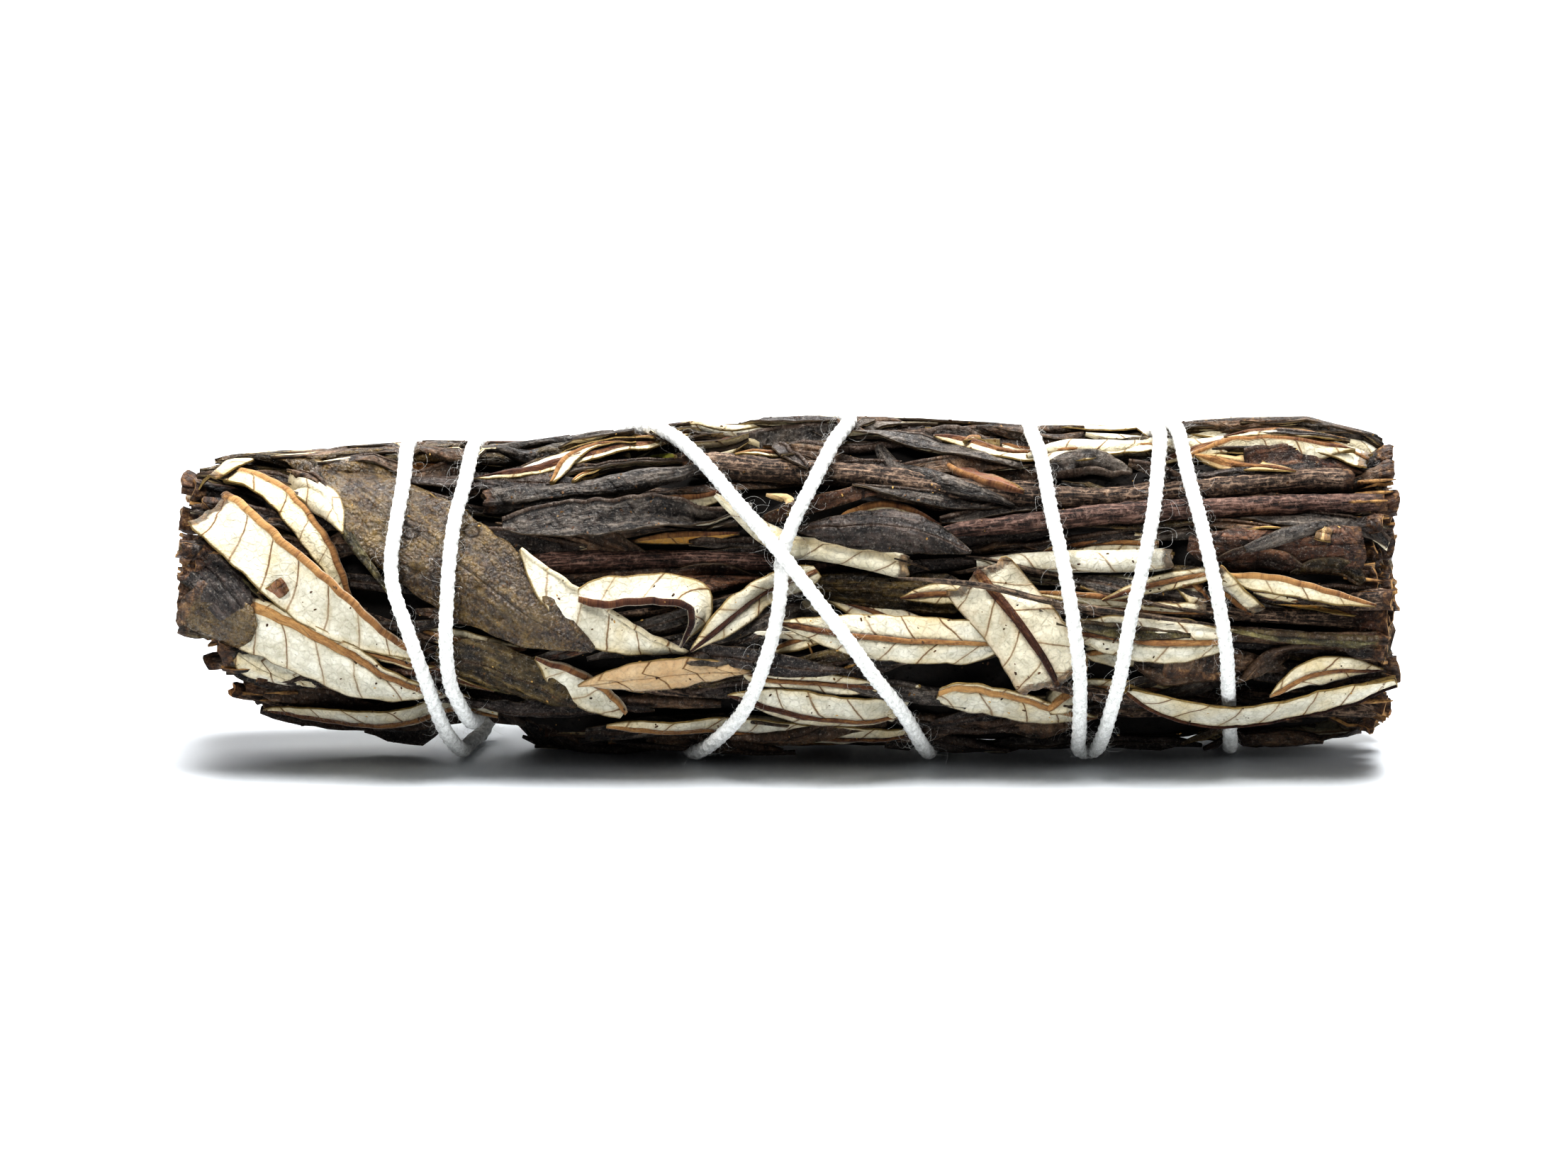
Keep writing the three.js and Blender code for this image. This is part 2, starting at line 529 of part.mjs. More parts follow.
const ringsToSolid = (rings) => solidThroughRings(rings.map((ring) => ring.map(toSpace)));

function layStrip(name, strip) {
  const stations = followRoute(strip.route, stationSteps[strip.form]);
  const margin = stationSteps[strip.form] / 2 + 0.4;
  const section = sections[strip.form](strip);
  const levels = levelsUnderCeiling(strip, stations, section);
  let rings;
  const solid = buildClear(name,
    () => {
      rings = stripRings(strip, stations, section, levels);
      return ringsToSolid(rings);
    },
    (clash) => rings.forEach((ring, i) => {
      if (ring.map(toSpace).some((p) => isNear(p, clash, margin))) levels[i] = levels[i].map((r) => r - pushStep);
    }));
  return { rings, solid };
}

// A piece is one strip, or several that grew together: then they are laid under the same ceiling
// and joined, so each later strip has to cross the first one.
function layPiece(piece) {
  const strips = (piece.strips ?? [piece]).map((strip) => layStrip(piece.name, strip));
  strips.forEach(({ rings }) => ceiling.lowerTo(rings));
  keep(piece.name, join(strips.map(({ solid }) => solid)));
}

// The string

const stringRadius = stringDiameter / 2;
const stringSection = [[-1, 0.5], [0, 1], [1, 0.5], [1, -0.5], [0, -1], [-1, -0.5]];
const underPress = 0.12; // how far the surface below presses the string flat

function stringLevel({ x, angle }) {
  const free = bundleRadius(x) + stringProud - stringRadius;
  const overFloor = radiusAtHeight(x, angle, 0) - stringRadius + underPress;
  const under = ceiling.lowest({ x, angle }, 0.9);
  const covered = under < outlineRadius(x, angle) - 0.5;
  return Math.min(free, overFloor, covered ? under - airGap - stringRadius : Infinity);
}

// Earlier turns pass under later ones where they cross, away from the knot.
function passUnderLaterTurns(stations, radii) {
  const clearance = stringDiameter + 0.1;
  const shares = [0, 0.25, 0.5, 0.75];
  const between = (i, share) => ({
    x: lerp(stations[i].x, stations[i + 1].x, share),
    angle: lerp(stations[i].angle, stations[i + 1].angle, share),
    r: lerp(radii[i], radii[i + 1], share),
  });
  for (let i = stations.length - 2; i >= 1; i--)
    for (let j = i + 5; j < stations.length - 2; j++)
      for (const here of shares.map((share) => between(i, share)))
        for (const there of shares.map((share) => between(j, share))) {
          const round = angleBetween(here.angle, there.angle) * arcPerDegree(here.x);
          const excess = here.r + clearance - there.r;
          if (Math.hypot(here.x - there.x, round) > stringDiameter - 0.05 || excess <= 0) continue;
          radii[i] -= excess;
          radii[i + 1] -= excess;
          here.r -= excess;
        }
}

function stringRings(stations, radii) {
  return stations.map((station, i) => stringSection.map(([across, up]) => {
    const place = beside(station, across * stringRadius);
    const r = Math.min(radii[i] + up * stringRadius, radiusAtHeight(place.x, place.angle, 0));
    return { ...place, r };
  }));
}

// Rings cut into shorter runs that share their end rings, so that turns which touch are joined
function inLengths(rings, count) {
  const starts = rings.map((_, i) => i).filter((i) => i % count === 0 && i < rings.length - 1);
  return starts.map((i) => rings.slice(i, i + count + 1));
}

function layString() {
  const stations = followRoute(stringRoute, 3.4, toRadians(28));
  const radii = stations.map(stringLevel);
  passUnderLaterTurns(stations, radii);
  const levels = radii.map((r) => [r]);
  stiffen(levels, 0.22);
  let rings;
  const solid = buildClear("string",
    () => {
      rings = stringRings(stations, levels.map(([r]) => r));
      return join(inLengths(rings, 12).map(ringsToSolid));
    },
    (clash) => rings.forEach((ring, i) => {
      if (ring.map(toSpace).some((p) => isNear(p, clash, 2.1))) levels[i][0] -= pushStep;
    }));
  ceiling.lowerTo(rings);
  return solid;
}

// The two cut ends past the knot
function layTail(route) {
  const stations = followRoute(route, 1.8);
  const rings = stringRings(stations, stations.map(({ x }) => bundleRadius(x) + stringProud - stringRadius));
  ceiling.lowerTo(rings);
  return ringsToSolid(rings);
}

// The knot, a small trefoil that both ends run into
function layKnot() {
  const [x, angle] = knotPlace;
  const size = 0.64;
  const steps = 24;
  const strand = 0.52;
  const centre = { x, angle, tx: 1, ts: 0 };
  const loop = Array.from({ length: steps }, (_, i) => {
    const t = (i / steps) * 2 * Math.PI;
    return new THREE.Vector3(Math.sin(t) + 2 * Math.sin(2 * t), Math.cos(t) - 2 * Math.cos(2 * t),
      -Math.sin(3 * t)).multiplyScalar(size);
  });
  const rings = loop.map((p, i) => {
    const along = loop[(i + 1) % steps].clone().sub(loop[(i + steps - 1) % steps]).normalize();
    const side = new THREE.Vector3(0, 0, 1).cross(along).normalize();
    const up = along.clone().cross(side);
    return Array.from({ length: 6 }, (__, k) => {
      const a = -toRadians(60 * k);
      const q = p.clone().addScaledVector(side, strand * Math.cos(a)).addScaledVector(up, strand * Math.sin(a));
      const place = beside({ ...centre, x: x + q.x }, q.y);
      return { x: x + q.x, angle: place.angle, r: bundleRadius(x) + 0.3 + q.z };
    });
  });
  ceiling.lowerTo([...rings, rings[0]]);
  return closedLoop(rings.map((ring) => ring.map(toSpace)));
}

function closedLoop(rings) {
  const m = rings[0].length;
  const index = [];
  rings.forEach((_, i) => {
    const next = (i + 1) % rings.length;
    for (let k = 0; k < m; k++) {
      const l = (k + 1) % m;
      index.push(i * m + k, next * m + k, next * m + l, i * m + k, next * m + l, i * m + l);
    }
  });
  return toSolid(rings.flat(), index);
}

// The packed middle

const coreColumns = 36;
const coreStations = 23;
const ridgeHeight = 0.5;

function packedMiddle() {
  const random = seededRandom(11);
  const ridges = Array.from({ length: coreColumns }, () => random() * 2 * ridgeHeight);
  const halfStep = coreHalfLength / (coreStations - 1);
  const rows = Array.from({ length: coreStations }, (_, i) => {
    const x = lerp(-coreHalfLength, coreHalfLength, i / (coreStations - 1));
    return Array.from({ length: coreColumns }, (__, k) => {
      const angle = (k * 360) / coreColumns;
      const ridge = ridges[k] * Math.sin(x * 0.09 + k * 2.4);
      const covered = ceiling.lowest({ x, angle }, 1.2, halfStep) - airGap;
      return { x, angle, r: Math.min(covered, outlineRadius(x, angle) - gapDepth + ridge) };
    });
  });
  const stubs = [-1, 1].flatMap((side) => endStubs(side, random));
  return buildClear("packed_leaves",
    () => join([coreSolid(rows), ...stubs]),
    (clash) => rows.flat().forEach((place) => {
      if (isNear(toSpace(place), clash, 2.4)) place.r -= pushStep;
    }));
}

function coreSolid(rows) {
  const n = coreColumns;
  const points = rows.flatMap((row) => row.map(toSpace));
  const index = [];
  for (let i = 0; i < rows.length - 1; i++)
    for (let k = 0; k < n; k++) {
      const [a, b] = [i * n + k, (i + 1) * n + k];
      const [d, c] = [i * n + ((k + 1) % n), (i + 1) * n + ((k + 1) % n)];
      index.push(a, b, c, a, c, d);
    }
  const last = (rows.length - 1) * n;
  const [leftPole, rightPole] = [points.length, points.length + 1];
  points.push(toSpace({ x: -coreHalfLength - 0.8, angle: 0, r: 0 }));
  points.push(toSpace({ x: coreHalfLength + 0.8, angle: 0, r: 0 }));
  for (let k = 0; k < n; k++) {
    index.push(leftPole, k, (k + 1) % n);
    index.push(rightPole, last + ((k + 1) % n), last + k);
  }
  return toSolid(points, index);
}

// Rolled leaves and hollow stems that stand out of a cut end, sunk well into the middle, in rings
// of [distance from the axis, how many]
const stubRings = [[0, 1], [3.2, 5], [6, 8], [8.2, 9]];
const stubSides = 5;

function endStubs(side, random) {
  const shrink = side < 0 ? 0.78 : 1;
  return stubRings.flatMap(([distance, count]) => Array.from({ length: count }, (_, k) => {
    const angle = (k + 0.6 * random()) * (360 / count);
    const radius = (0.9 + 0.8 * random()) * (side < 0 ? 0.9 : 1);
    const wanted = Math.max(0, distance + (random() - 0.5) * 0.8) * shrink;
    const free = ceiling.lowest({ x: side * coreHalfLength, angle }, radius * 1.4, 3) - airGap;
    const r = Math.min(wanted, free - radius * 1.05);
    return stub(side, { angle, r, radius, reach: coreHalfLength + 0.9 + 1.7 * random(), hollow: random() < 0.7 });
  }));
}

function stub(side, { angle, r, radius, reach, hollow }) {
  const root = side * (coreHalfLength - 3);
  const tip = side * reach;
  const wall = hollow ? 0.62 : 0.35;
  const floor = tip + side * (hollow ? -1.1 : 0.2);
  const ring = (x, size) => Array.from({ length: stubSides }, (_, k) => {
    const a = toRadians(angle * 3 + (k * 360 * side) / stubSides);
    return toSpace({ x, angle, r }).add(new THREE.Vector3(0, -size * Math.cos(a), size * Math.sin(a)));
  });
  const points = [...ring(root, radius * 0.8), ...ring(tip, radius), ...ring(tip, radius * wall),
    toSpace({ x: floor, angle, r }), toSpace({ x: root, angle, r })];
  const [floorPoint, rootPoint] = [3 * stubSides, 3 * stubSides + 1];
  const index = [];
  for (let k = 0; k < stubSides; k++) {
    const next = (k + 1) % stubSides;
    for (const [near, far] of [[0, stubSides], [stubSides, 2 * stubSides]])
      index.push(near + k, far + k, far + next, near + k, far + next, near + next);
    index.push(2 * stubSides + k, floorPoint, 2 * stubSides + next);
    index.push(rootPoint, k, next);
  }
  return toSolid(points, index);
}

layPiece(leafOverString);
keep("string", join([layString(), layKnot(), ...tailRoutes.map(layTail)]));
pieces.toReversed().forEach(layPiece);
keep("packed_leaves", packedMiddle());

const smudgeStick = new THREE.Group();
for (const { name, solid } of laid) {
  const kind = name === "packed_leaves" ? "core" : name.split("_")[0];
  smudgeStick.add(toMesh(name, solid, materials[kind]));
}
export default smudgeStick;
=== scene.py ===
import json
import math
import bpy
import numpy as np
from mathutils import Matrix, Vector
from mathutils.bvhtree import BVHTree

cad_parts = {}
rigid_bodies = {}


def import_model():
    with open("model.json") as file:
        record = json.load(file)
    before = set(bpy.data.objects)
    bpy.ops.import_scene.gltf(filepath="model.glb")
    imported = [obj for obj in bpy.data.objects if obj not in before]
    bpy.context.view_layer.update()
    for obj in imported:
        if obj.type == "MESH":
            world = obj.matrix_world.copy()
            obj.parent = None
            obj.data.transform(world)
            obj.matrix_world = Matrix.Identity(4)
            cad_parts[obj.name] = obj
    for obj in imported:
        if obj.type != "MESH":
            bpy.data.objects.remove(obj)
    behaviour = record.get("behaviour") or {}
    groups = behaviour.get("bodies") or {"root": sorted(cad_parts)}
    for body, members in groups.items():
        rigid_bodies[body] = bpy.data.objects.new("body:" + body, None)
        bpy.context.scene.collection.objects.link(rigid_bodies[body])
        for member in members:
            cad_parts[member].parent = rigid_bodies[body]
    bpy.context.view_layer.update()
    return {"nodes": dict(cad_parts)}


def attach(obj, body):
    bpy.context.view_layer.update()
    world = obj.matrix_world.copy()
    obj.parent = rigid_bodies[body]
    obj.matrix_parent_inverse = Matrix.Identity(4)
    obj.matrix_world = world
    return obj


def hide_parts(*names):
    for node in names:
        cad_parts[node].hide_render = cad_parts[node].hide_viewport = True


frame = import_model()

# A yerba santa smudge stick. Places on the bundle are (x, angle) pairs, x in millimetres along
# the stick and the angle in degrees round it: 0 is the front (-Y), 90 the top, 180 the back.
# Shapes are worked out in millimetres, and meshes are written in metres.

bundle = {
    "outline": [  # x, radius, height of the middle
        (-51, 9.8, 14.4), (-46, 10.8, 14.2), (-40, 11.6, 13.7), (-30, 12.8, 13.2), (-22, 13, 12.9),
        (-15, 13.5, 13.4), (-7, 13.9, 13.8), (2, 14.1, 14), (11, 14, 13.9), (20, 13.7, 13.6),
        (29, 13.7, 13.6), (37, 14, 13.9), (43, 14, 14), (48, 13, 13.8), (51, 12, 13.8)],
    "sheetThickness": 0.27,
    "clearance": 0.05,  # under whatever lies over a piece
}


def radiusAt(x):
    xs, radii, _ = zip(*bundle["outline"])
    return np.interp(x, xs, radii)


def axisHeight(x):
    xs, _, heights = zip(*bundle["outline"])
    return np.interp(x, xs, heights)


def arcPerDegree(x):
    return np.radians(radiusAt(x))


def toSpace(x, angle, r):
    # points in millimetres, stacked on the last axis
    a = np.radians(angle)
    x, y, z = np.broadcast_arrays(x, -r * np.cos(a), axisHeight(x) + r * np.sin(a))
    return np.stack([x, y, z], axis=-1)


def bumps(x, y, size, seed):
    # smooth random heights from -1 to 1 over a plane, with bumps of that size
    x, y = np.broadcast_arrays(np.asarray(x, float) / size, np.asarray(y, float) / size)
    cellX, cellY = np.floor(x).astype(np.int64), np.floor(y).astype(np.int64)
    fx, fy = x - cellX, y - cellY
    fx, fy = fx * fx * (3 - 2 * fx), fy * fy * (3 - 2 * fy)

    def corner(i, j):
        h = ((cellX + i) * 374761393 + (cellY + j) * 668265263 + seed * 974634777) & 0xffffffff
        h = ((h ^ (h >> 13)) * 1274126177) & 0xffffffff
        return ((h ^ (h >> 16)) & 0xffff) / 32767.5 - 1

    near = corner(0, 0) * (1 - fx) + corner(1, 0) * fx
    far = corner(0, 1) * (1 - fx) + corner(1, 1) * fx
    return near * (1 - fy) + far * fy


def followRoute(route, step):
    # a smooth line through (x, angle) points: places, its direction along and round, its length
    meanArc = arcPerDegree(route[len(route) // 2][0])
    points = np.array([(x, angle * meanArc) for x, angle in route], float)
    points = np.vstack([2 * points[0] - points[1], points, 2 * points[-1] - points[-2]])
    fine = [points[1][None]]
    for p0, p1, p2, p3 in zip(points, points[1:], points[2:], points[3:]):
        d0, d1, d2 = (math.sqrt(np.linalg.norm(b - a)) for a, b in ((p0, p1), (p1, p2), (p2, p3)))
        t1 = ((p1 - p0) / d0 - (p2 - p0) / (d0 + d1) + (p2 - p1) / d1) * d1
        t2 = ((p2 - p1) / d1 - (p3 - p1) / (d1 + d2) + (p3 - p2) / d2) * d1
        t = np.linspace(0, 1, 25)[1:, None]
        fine.append(p1 + t1 * t + (3 * (p2 - p1) - 2 * t1 - t2) * t**2 + (2 * (p1 - p2) + t1 + t2) * t**3)
    fine = np.vstack(fine)
    walked = np.concatenate([[0], np.cumsum(np.linalg.norm(np.diff(fine, axis=0), axis=1))])
    s = np.linspace(0, walked[-1], max(4, round(walked[-1] / step)) + 1)
    at = np.column_stack([np.interp(s, walked, fine[:, k]) for k in (0, 1)])
    direction = np.gradient(at, axis=0)
    direction /= np.linalg.norm(direction, axis=1)[:, None]
    return {"x": at[:, 0], "angle": at[:, 1] / meanArc, "tx": direction[:, 0], "ts": direction[:, 1],
            "s": s, "length": walked[-1]}


def beside(path, left, ahead=0.0):
    # x and angle for rows of distances to the left of a path and ahead along it
    x, tx, ts = (path[key][:, None] for key in ("x", "tx", "ts"))
    angle = path["angle"][:, None] + (left * tx + ahead * ts) / arcPerDegree(x)
    return x - left * ts + ahead * tx, angle


# The leaves, stems and twigs, innermost first. width is the full width in millimetres. rib is
# where the midrib lies across the leaf, from -1 to 1, with 1 on the left hand along the route.
pieces = [
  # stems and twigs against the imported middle
  dict(node="stem_01", form="stem", width=2.3, ends=("cut", "cut"),
    route=[(-9, 74), (-0.5, 66), (6.5, 62), (14.5, 57), (20.5, 56), (30, 58), (38, 60), (47, 62)]),
  dict(node="stem_02", form="stem", width=2, ends=("taper", "cut"),
    route=[(10, 33), (15, 38), (20.5, 42), (29.5, 46), (36, 46.5), (43, 48), (49.5, 51)]),
  dict(node="stem_03", form="stem", width=2.7, ends=("cut", "cut"),
    route=[(-21.5, 28), (-11.5, 29.5), (-1.5, 28.5), (5, 26)]),
  dict(node="stem_04", form="stem", width=2.1, ends=("cut", "cut"),
    route=[(20, -56), (28.5, -57), (38.7, -59.5), (50.3, -55)]),
  dict(node="stem_05", form="stem", width=1.4, ends=("cut", "cut"),
    route=[(30, 5), (36, 1), (42.5, -2), (49, -4)]),
  dict(node="stem_06", form="stem", width=2, ends=("taper", "cut"),
    route=[(-11, 93), (-3.5, 96), (4.5, 95), (14, 91)]),
  dict(node="stem_07", form="stem", width=2.9, ends=("round", "taper"), lumpy=0.13,
    route=[(-32, 86), (-29.8, 87), (-27.4, 85)]),
  dict(node="stem_08", form="stem", width=2.4, ends=("cut", "cut"),
    route=[(-49, 172), (-30, 176), (-10, 178), (8, 174)]),
  dict(node="stem_09", form="stem", width=2.6, ends=("cut", "taper"),
    route=[(50, 178), (38, 181), (26, 178), (13, 183)]),
  # dark leaves of the lower layer
  dict(node="dark_leaf_01", form="fold", width=3.2, rib=1, ends=("taper", "point"),
    route=[(-23.5, 42), (-20, 42.5), (-14, 42), (-8, 46), (-3, 51)]),
  dict(node="dark_leaf_02", form="blade", width=5.8, rib=0.2, ends=("cut", "cut"),
    route=[(-50.6, -1), (-47.5, -2), (-44, -3)]),
  dict(node="dark_leaf_03", form="roll", width=2.8, ends=("cut", "point"),
    route=[(-47, -28), (-43, -34), (-39, -41), (-34, -47), (-28, -49)]),
  dict(node="dark_leaf_04", form="blade", width=3, rib=0, ends=("point", "point"),
    route=[(-46, 93), (-42, 91), (-38, 84), (-33.5, 78)]),
  dict(node="dark_leaf_05", form="roll", width=2.6, ends=("cut", "point"),
    route=[(-25.5, 57), (-21, 57), (-15, 58), (-10, 61), (-6, 65)]),
  dict(node="dark_leaf_06", form="blade", width=2.4, rib=0, ends=("point", "point"),
    route=[(-29, -38), (-24, -42), (-18, -44), (-11, -45)]),
  dict(node="dark_leaf_07", form="blade", width=4.8, rib=0.2, ends=("round", "round"),
    route=[(0.6, 10), (5, 10), (10, 9), (15, 8)]),
  dict(node="dark_leaf_08", form="blade", width=2.8, rib=0.5, ends=("taper", "cut"),
    route=[(33, -10), (38, -11), (43, -12), (49.5, -13)]),
  dict(node="dark_leaf_09", form="blade", width=4, rib=0.3, ends=("taper", "point"),
    route=[(28.5, -18), (32, -20), (36, -22), (41, -24)]),
  dict(node="dark_leaf_10", form="blade", width=6, rib=0, ends=("cut", "point"),
    route=[(-48, 118), (-38, 124), (-28, 120), (-17, 111)]),
  dict(node="dark_leaf_11", form="blade", width=6.4, rib=0, ends=("cut", "point"),
    route=[(-47, 230), (-35, 237), (-22, 235), (-8, 226)]),
  dict(node="dark_leaf_12", form="blade", width=6, rib=0, ends=("point", "round"),
    route=[(-17, 133), (-4, 128), (8, 122), (20, 114)]),
  dict(node="dark_leaf_13", form="blade", width=6.5, rib=0, ends=("point", "point"),
    route=[(-10, 208), (4, 200), (16, 203), (29, 213)]),
  dict(node="dark_leaf_14", form="blade", width=5, rib=0, ends=("point", "cut"),
    route=[(10, 262), (22, 260), (34, 262), (48.5, 266)]),
  dict(node="dark_leaf_15", form="blade", width=5.5, rib=0, ends=("point", "cut"),
    route=[(25, 152), (34, 160), (43, 154), (49.5, 150)]),
  # pale leaves of the lower layer
  dict(node="pale_leaf_01", form="blade", width=5.2, rib=0.8, ends=("cut", "point"),
    route=[(-45.5, -5), (-41.5, -12), (-38, -20), (-34, -29), (-28.5, -33)]),
  dict(node="pale_leaf_02", form="blade", width=3.6, rib=0, ends=("point", "round"),
    route=[(-43.5, -66), (-38, -60), (-31, -57), (-24, -57)]),
  dict(node="pale_leaf_03", form="blade", width=2.8, rib=-0.7, ends=("point", "taper"),
    route=[(-26, 68), (-21, 73), (-17, 80), (-13, 89), (-8, 99)]),
  dict(node="pale_leaf_04", form="blade", width=3.8, rib=-0.6, ends=("point", "round"),
    route=[(-5, -32), (-0.5, -36), (4, -40), (9, -43)]),
  dict(node="pale_leaf_05", form="blade", width=4.2, rib=0, ends=("point", "point"),
    route=[(-15, -46), (-7, -53), (1, -57), (12, -58)]),
  dict(node="pale_leaf_06", form="roll", width=2.5, ends=("taper", "cut"),
    route=[(15.5, 24), (20, 25), (26, 25), (32, 25)]),
  dict(node="pale_leaf_07", form="blade", width=4.0, rib=0, ends=("point", "taper"),
    route=[(21.5, -4), (26, -6), (30.5, -8), (36, -9)]),
  dict(node="pale_leaf_08", form="blade", width=3.4, rib=0.9, ends=("round", "point"),
    route=[(12.3, -30), (16, -33), (20, -38), (25.5, -47)]),
  dict(node="pale_leaf_09", form="blade", width=3, rib=0, ends=("point", "cut"),
    route=[(30, 79), (36, 82), (42, 80), (48.5, 74)]),
  dict(node="pale_leaf_10", form="blade", width=3, rib=0, ends=("point", "round"),
    route=[(12, 82), (18, 76), (24, 77), (30.5, 84)]),
  dict(node="pale_leaf_11", form="blade", width=6.5, rib=0, ends=("cut", "point"),
    route=[(-48, 150), (-37, 144), (-25, 147), (-12, 158)]),
  dict(node="pale_leaf_12", form="blade", width=6, rib=0, ends=("cut", "round"),
    route=[(-48.5, 198), (-38, 205), (-26, 206), (-14, 199)]),
  dict(node="pale_leaf_13", form="blade", width=5, rib=0, ends=("round", "point"),
    route=[(-42, 262), (-30, 265), (-18, 263), (-4, 268)]),
  dict(node="pale_leaf_14", form="blade", width=6.5, rib=0, ends=("point", "point"),
    route=[(-14, 152), (0, 158), (13, 150), (26, 140)]),
  dict(node="pale_leaf_15", form="blade", width=6.5, rib=0, ends=("point", "point"),
    route=[(-12, 240), (4, 245), (18, 240), (31, 231)]),
  dict(node="pale_leaf_16", form="blade", width=6, rib=0, ends=("point", "cut"),
    route=[(21, 124), (31, 121), (41, 123), (49.5, 128)]),
  dict(node="pale_leaf_17", form="blade", width=5.6, rib=0, ends=("point", "cut"),
    route=[(28, 207), (37, 201), (44, 205), (50, 211)]),
  dict(node="pale_leaf_18", form="blade", width=5.2, rib=0, ends=("point", "cut"),
    route=[(27, 242), (36, 237), (44, 240), (49.5, 243)]),
  # the leaves that lie over them, front
  dict(node="pale_leaf_19", form="fold", width=2.1, rib=1, ends=("cut", "point"),
    route=[(-47.0, 80), (-44.5, 71), (-42, 59), (-40, 45), (-38, 28), (-36.6, 12), (-35.6, 0)]),
  dict(node="pale_leaf_20", form="fold", width=4.7, rib=1, ends=("cut", "point"),
    route=[(-48.1, 54), (-45.3, 36.5), (-41.8, 19), (-38.3, 5), (-34.7, -6), (-30, -15.5)]),
  dict(node="dark_leaf_16",
    strips=[
      dict(form="blade", width=8.8, rib=0, ends=("taper", "point"),
        scars=[(-30.5, 22, 0.9), (-25.5, 16, 0.7), (-23.7, 4, 0.5)],
        route=[(-38.8, 76), (-35, 58), (-31.5, 42), (-28, 28), (-24.5, 16), (-21, 4), (-16, -9)]),
      dict(form="fold", width=3.4, rib=1, ends=("point", "point"), skin="felt",
        route=[(-22, 31), (-20, 18), (-17, 4), (-13.5, -7), (-8, -15.5)]),
      dict(form="fold", width=0.8, rib=-1, ends=("taper", "point"), skin="greenish",
        route=[(-38.9, 78), (-37.3, 55), (-35.9, 35), (-33.8, 20), (-32.3, 9)]),
    ]),
  dict(node="dark_leaf_17",
    strips=[
      dict(form="blade", width=4.2, rib=0, ends=("taper", "point"),
        route=[(-29, -13), (-25, -15), (-21, -23), (-17.5, -35)]),
      dict(form="fold", width=2.5, rib=1, ends=("point", "taper"), skin="felt",
        route=[(-20.8, -12), (-18.6, -22), (-16.4, -32), (-13.6, -41)]),
    ]),
  dict(node="pale_leaf_21", form="blade", width=3.0, rib=0, ends=("point", "point"),
    route=[(-17.3, -24), (-12.5, -21.5), (-8, -20.5), (-3, -22.5)]),
  dict(node="pale_leaf_22", form="fold", width=2.5, rib=-1, ends=("round", "point"),
    route=[(-17.2, 12), (-13.5, 12.5), (-10, 12.5), (-7.6, 9), (-7.2, 1), (-8.8, -10)]),
  dict(node="pale_leaf_23", form="blade", width=3.3, rib=0, ends=("point", "round"),
    route=[(-8, -11), (-5.5, -3), (-3, 5), (-0.5, 13), (2.4, 19)]),
  dict(node="pale_leaf_24", form="roll", width=2.8, ends=("point", "cut"), seam=190,
    route=[(-6, 50), (-3.2, 42.5), (-0.5, 35.5), (4, 30), (10.4, 21)]),
  dict(node="dark_leaf_18", form="blade", width=3.8, rib=0.1, ends=("point", "point"),
    route=[(0.5, 37), (4.5, 35), (8, 34), (11.5, 31), (15, 25)]),
  dict(node="pale_leaf_25", form="blade", width=4.4, rib=0.05, ends=("point", "round"),
    route=[(-1, -3.5), (3, -6), (8, -8), (13, -9.5), (17.4, -12)]),
  dict(node="pale_leaf_26", form="blade", width=6.4, rib=0.05, ends=("cut", "cut"),
    route=[(15.2, 19), (17, 9), (19, -2), (20.6, -12), (22.2, -26)]),
  dict(node="twig_01", form="stem", width=0.55, ends=("taper", "taper"),
    route=[(9, 15), (16, 13), (22.5, 7), (30.5, 1.5), (35, -2)]),
  dict(node="brown_leaf_01", form="blade", width=3.8, rib=0.1, ends=("taper", "cut"),
    route=[(32.8, 29), (37.5, 26), (42, 26), (47.8, 28)]),
  dict(node="pale_leaf_27", form="fold", width=1.4, rib=1, ends=("taper", "point"),
    route=[(35.6, 15.5), (40.4, 12), (44.1, 8.2), (48.2, 5)]),
  dict(node="pale_leaf_28", form="blade", width=2.9, rib=0, ends=("point", "point"),
    route=[(39.6, -31), (42.5, -24), (45.5, -23), (49, -28.5)]),
]

# This leaf passes over the string.
leafOverString = dict(node="pale_leaf_29", form="fold", width=3.2, rib=-1, ends=("taper", "taper"),
  route=[(28, -28), (32, -37), (36.3, -42), (40.5, -39.5), (46, -34.5), (50, -30)])

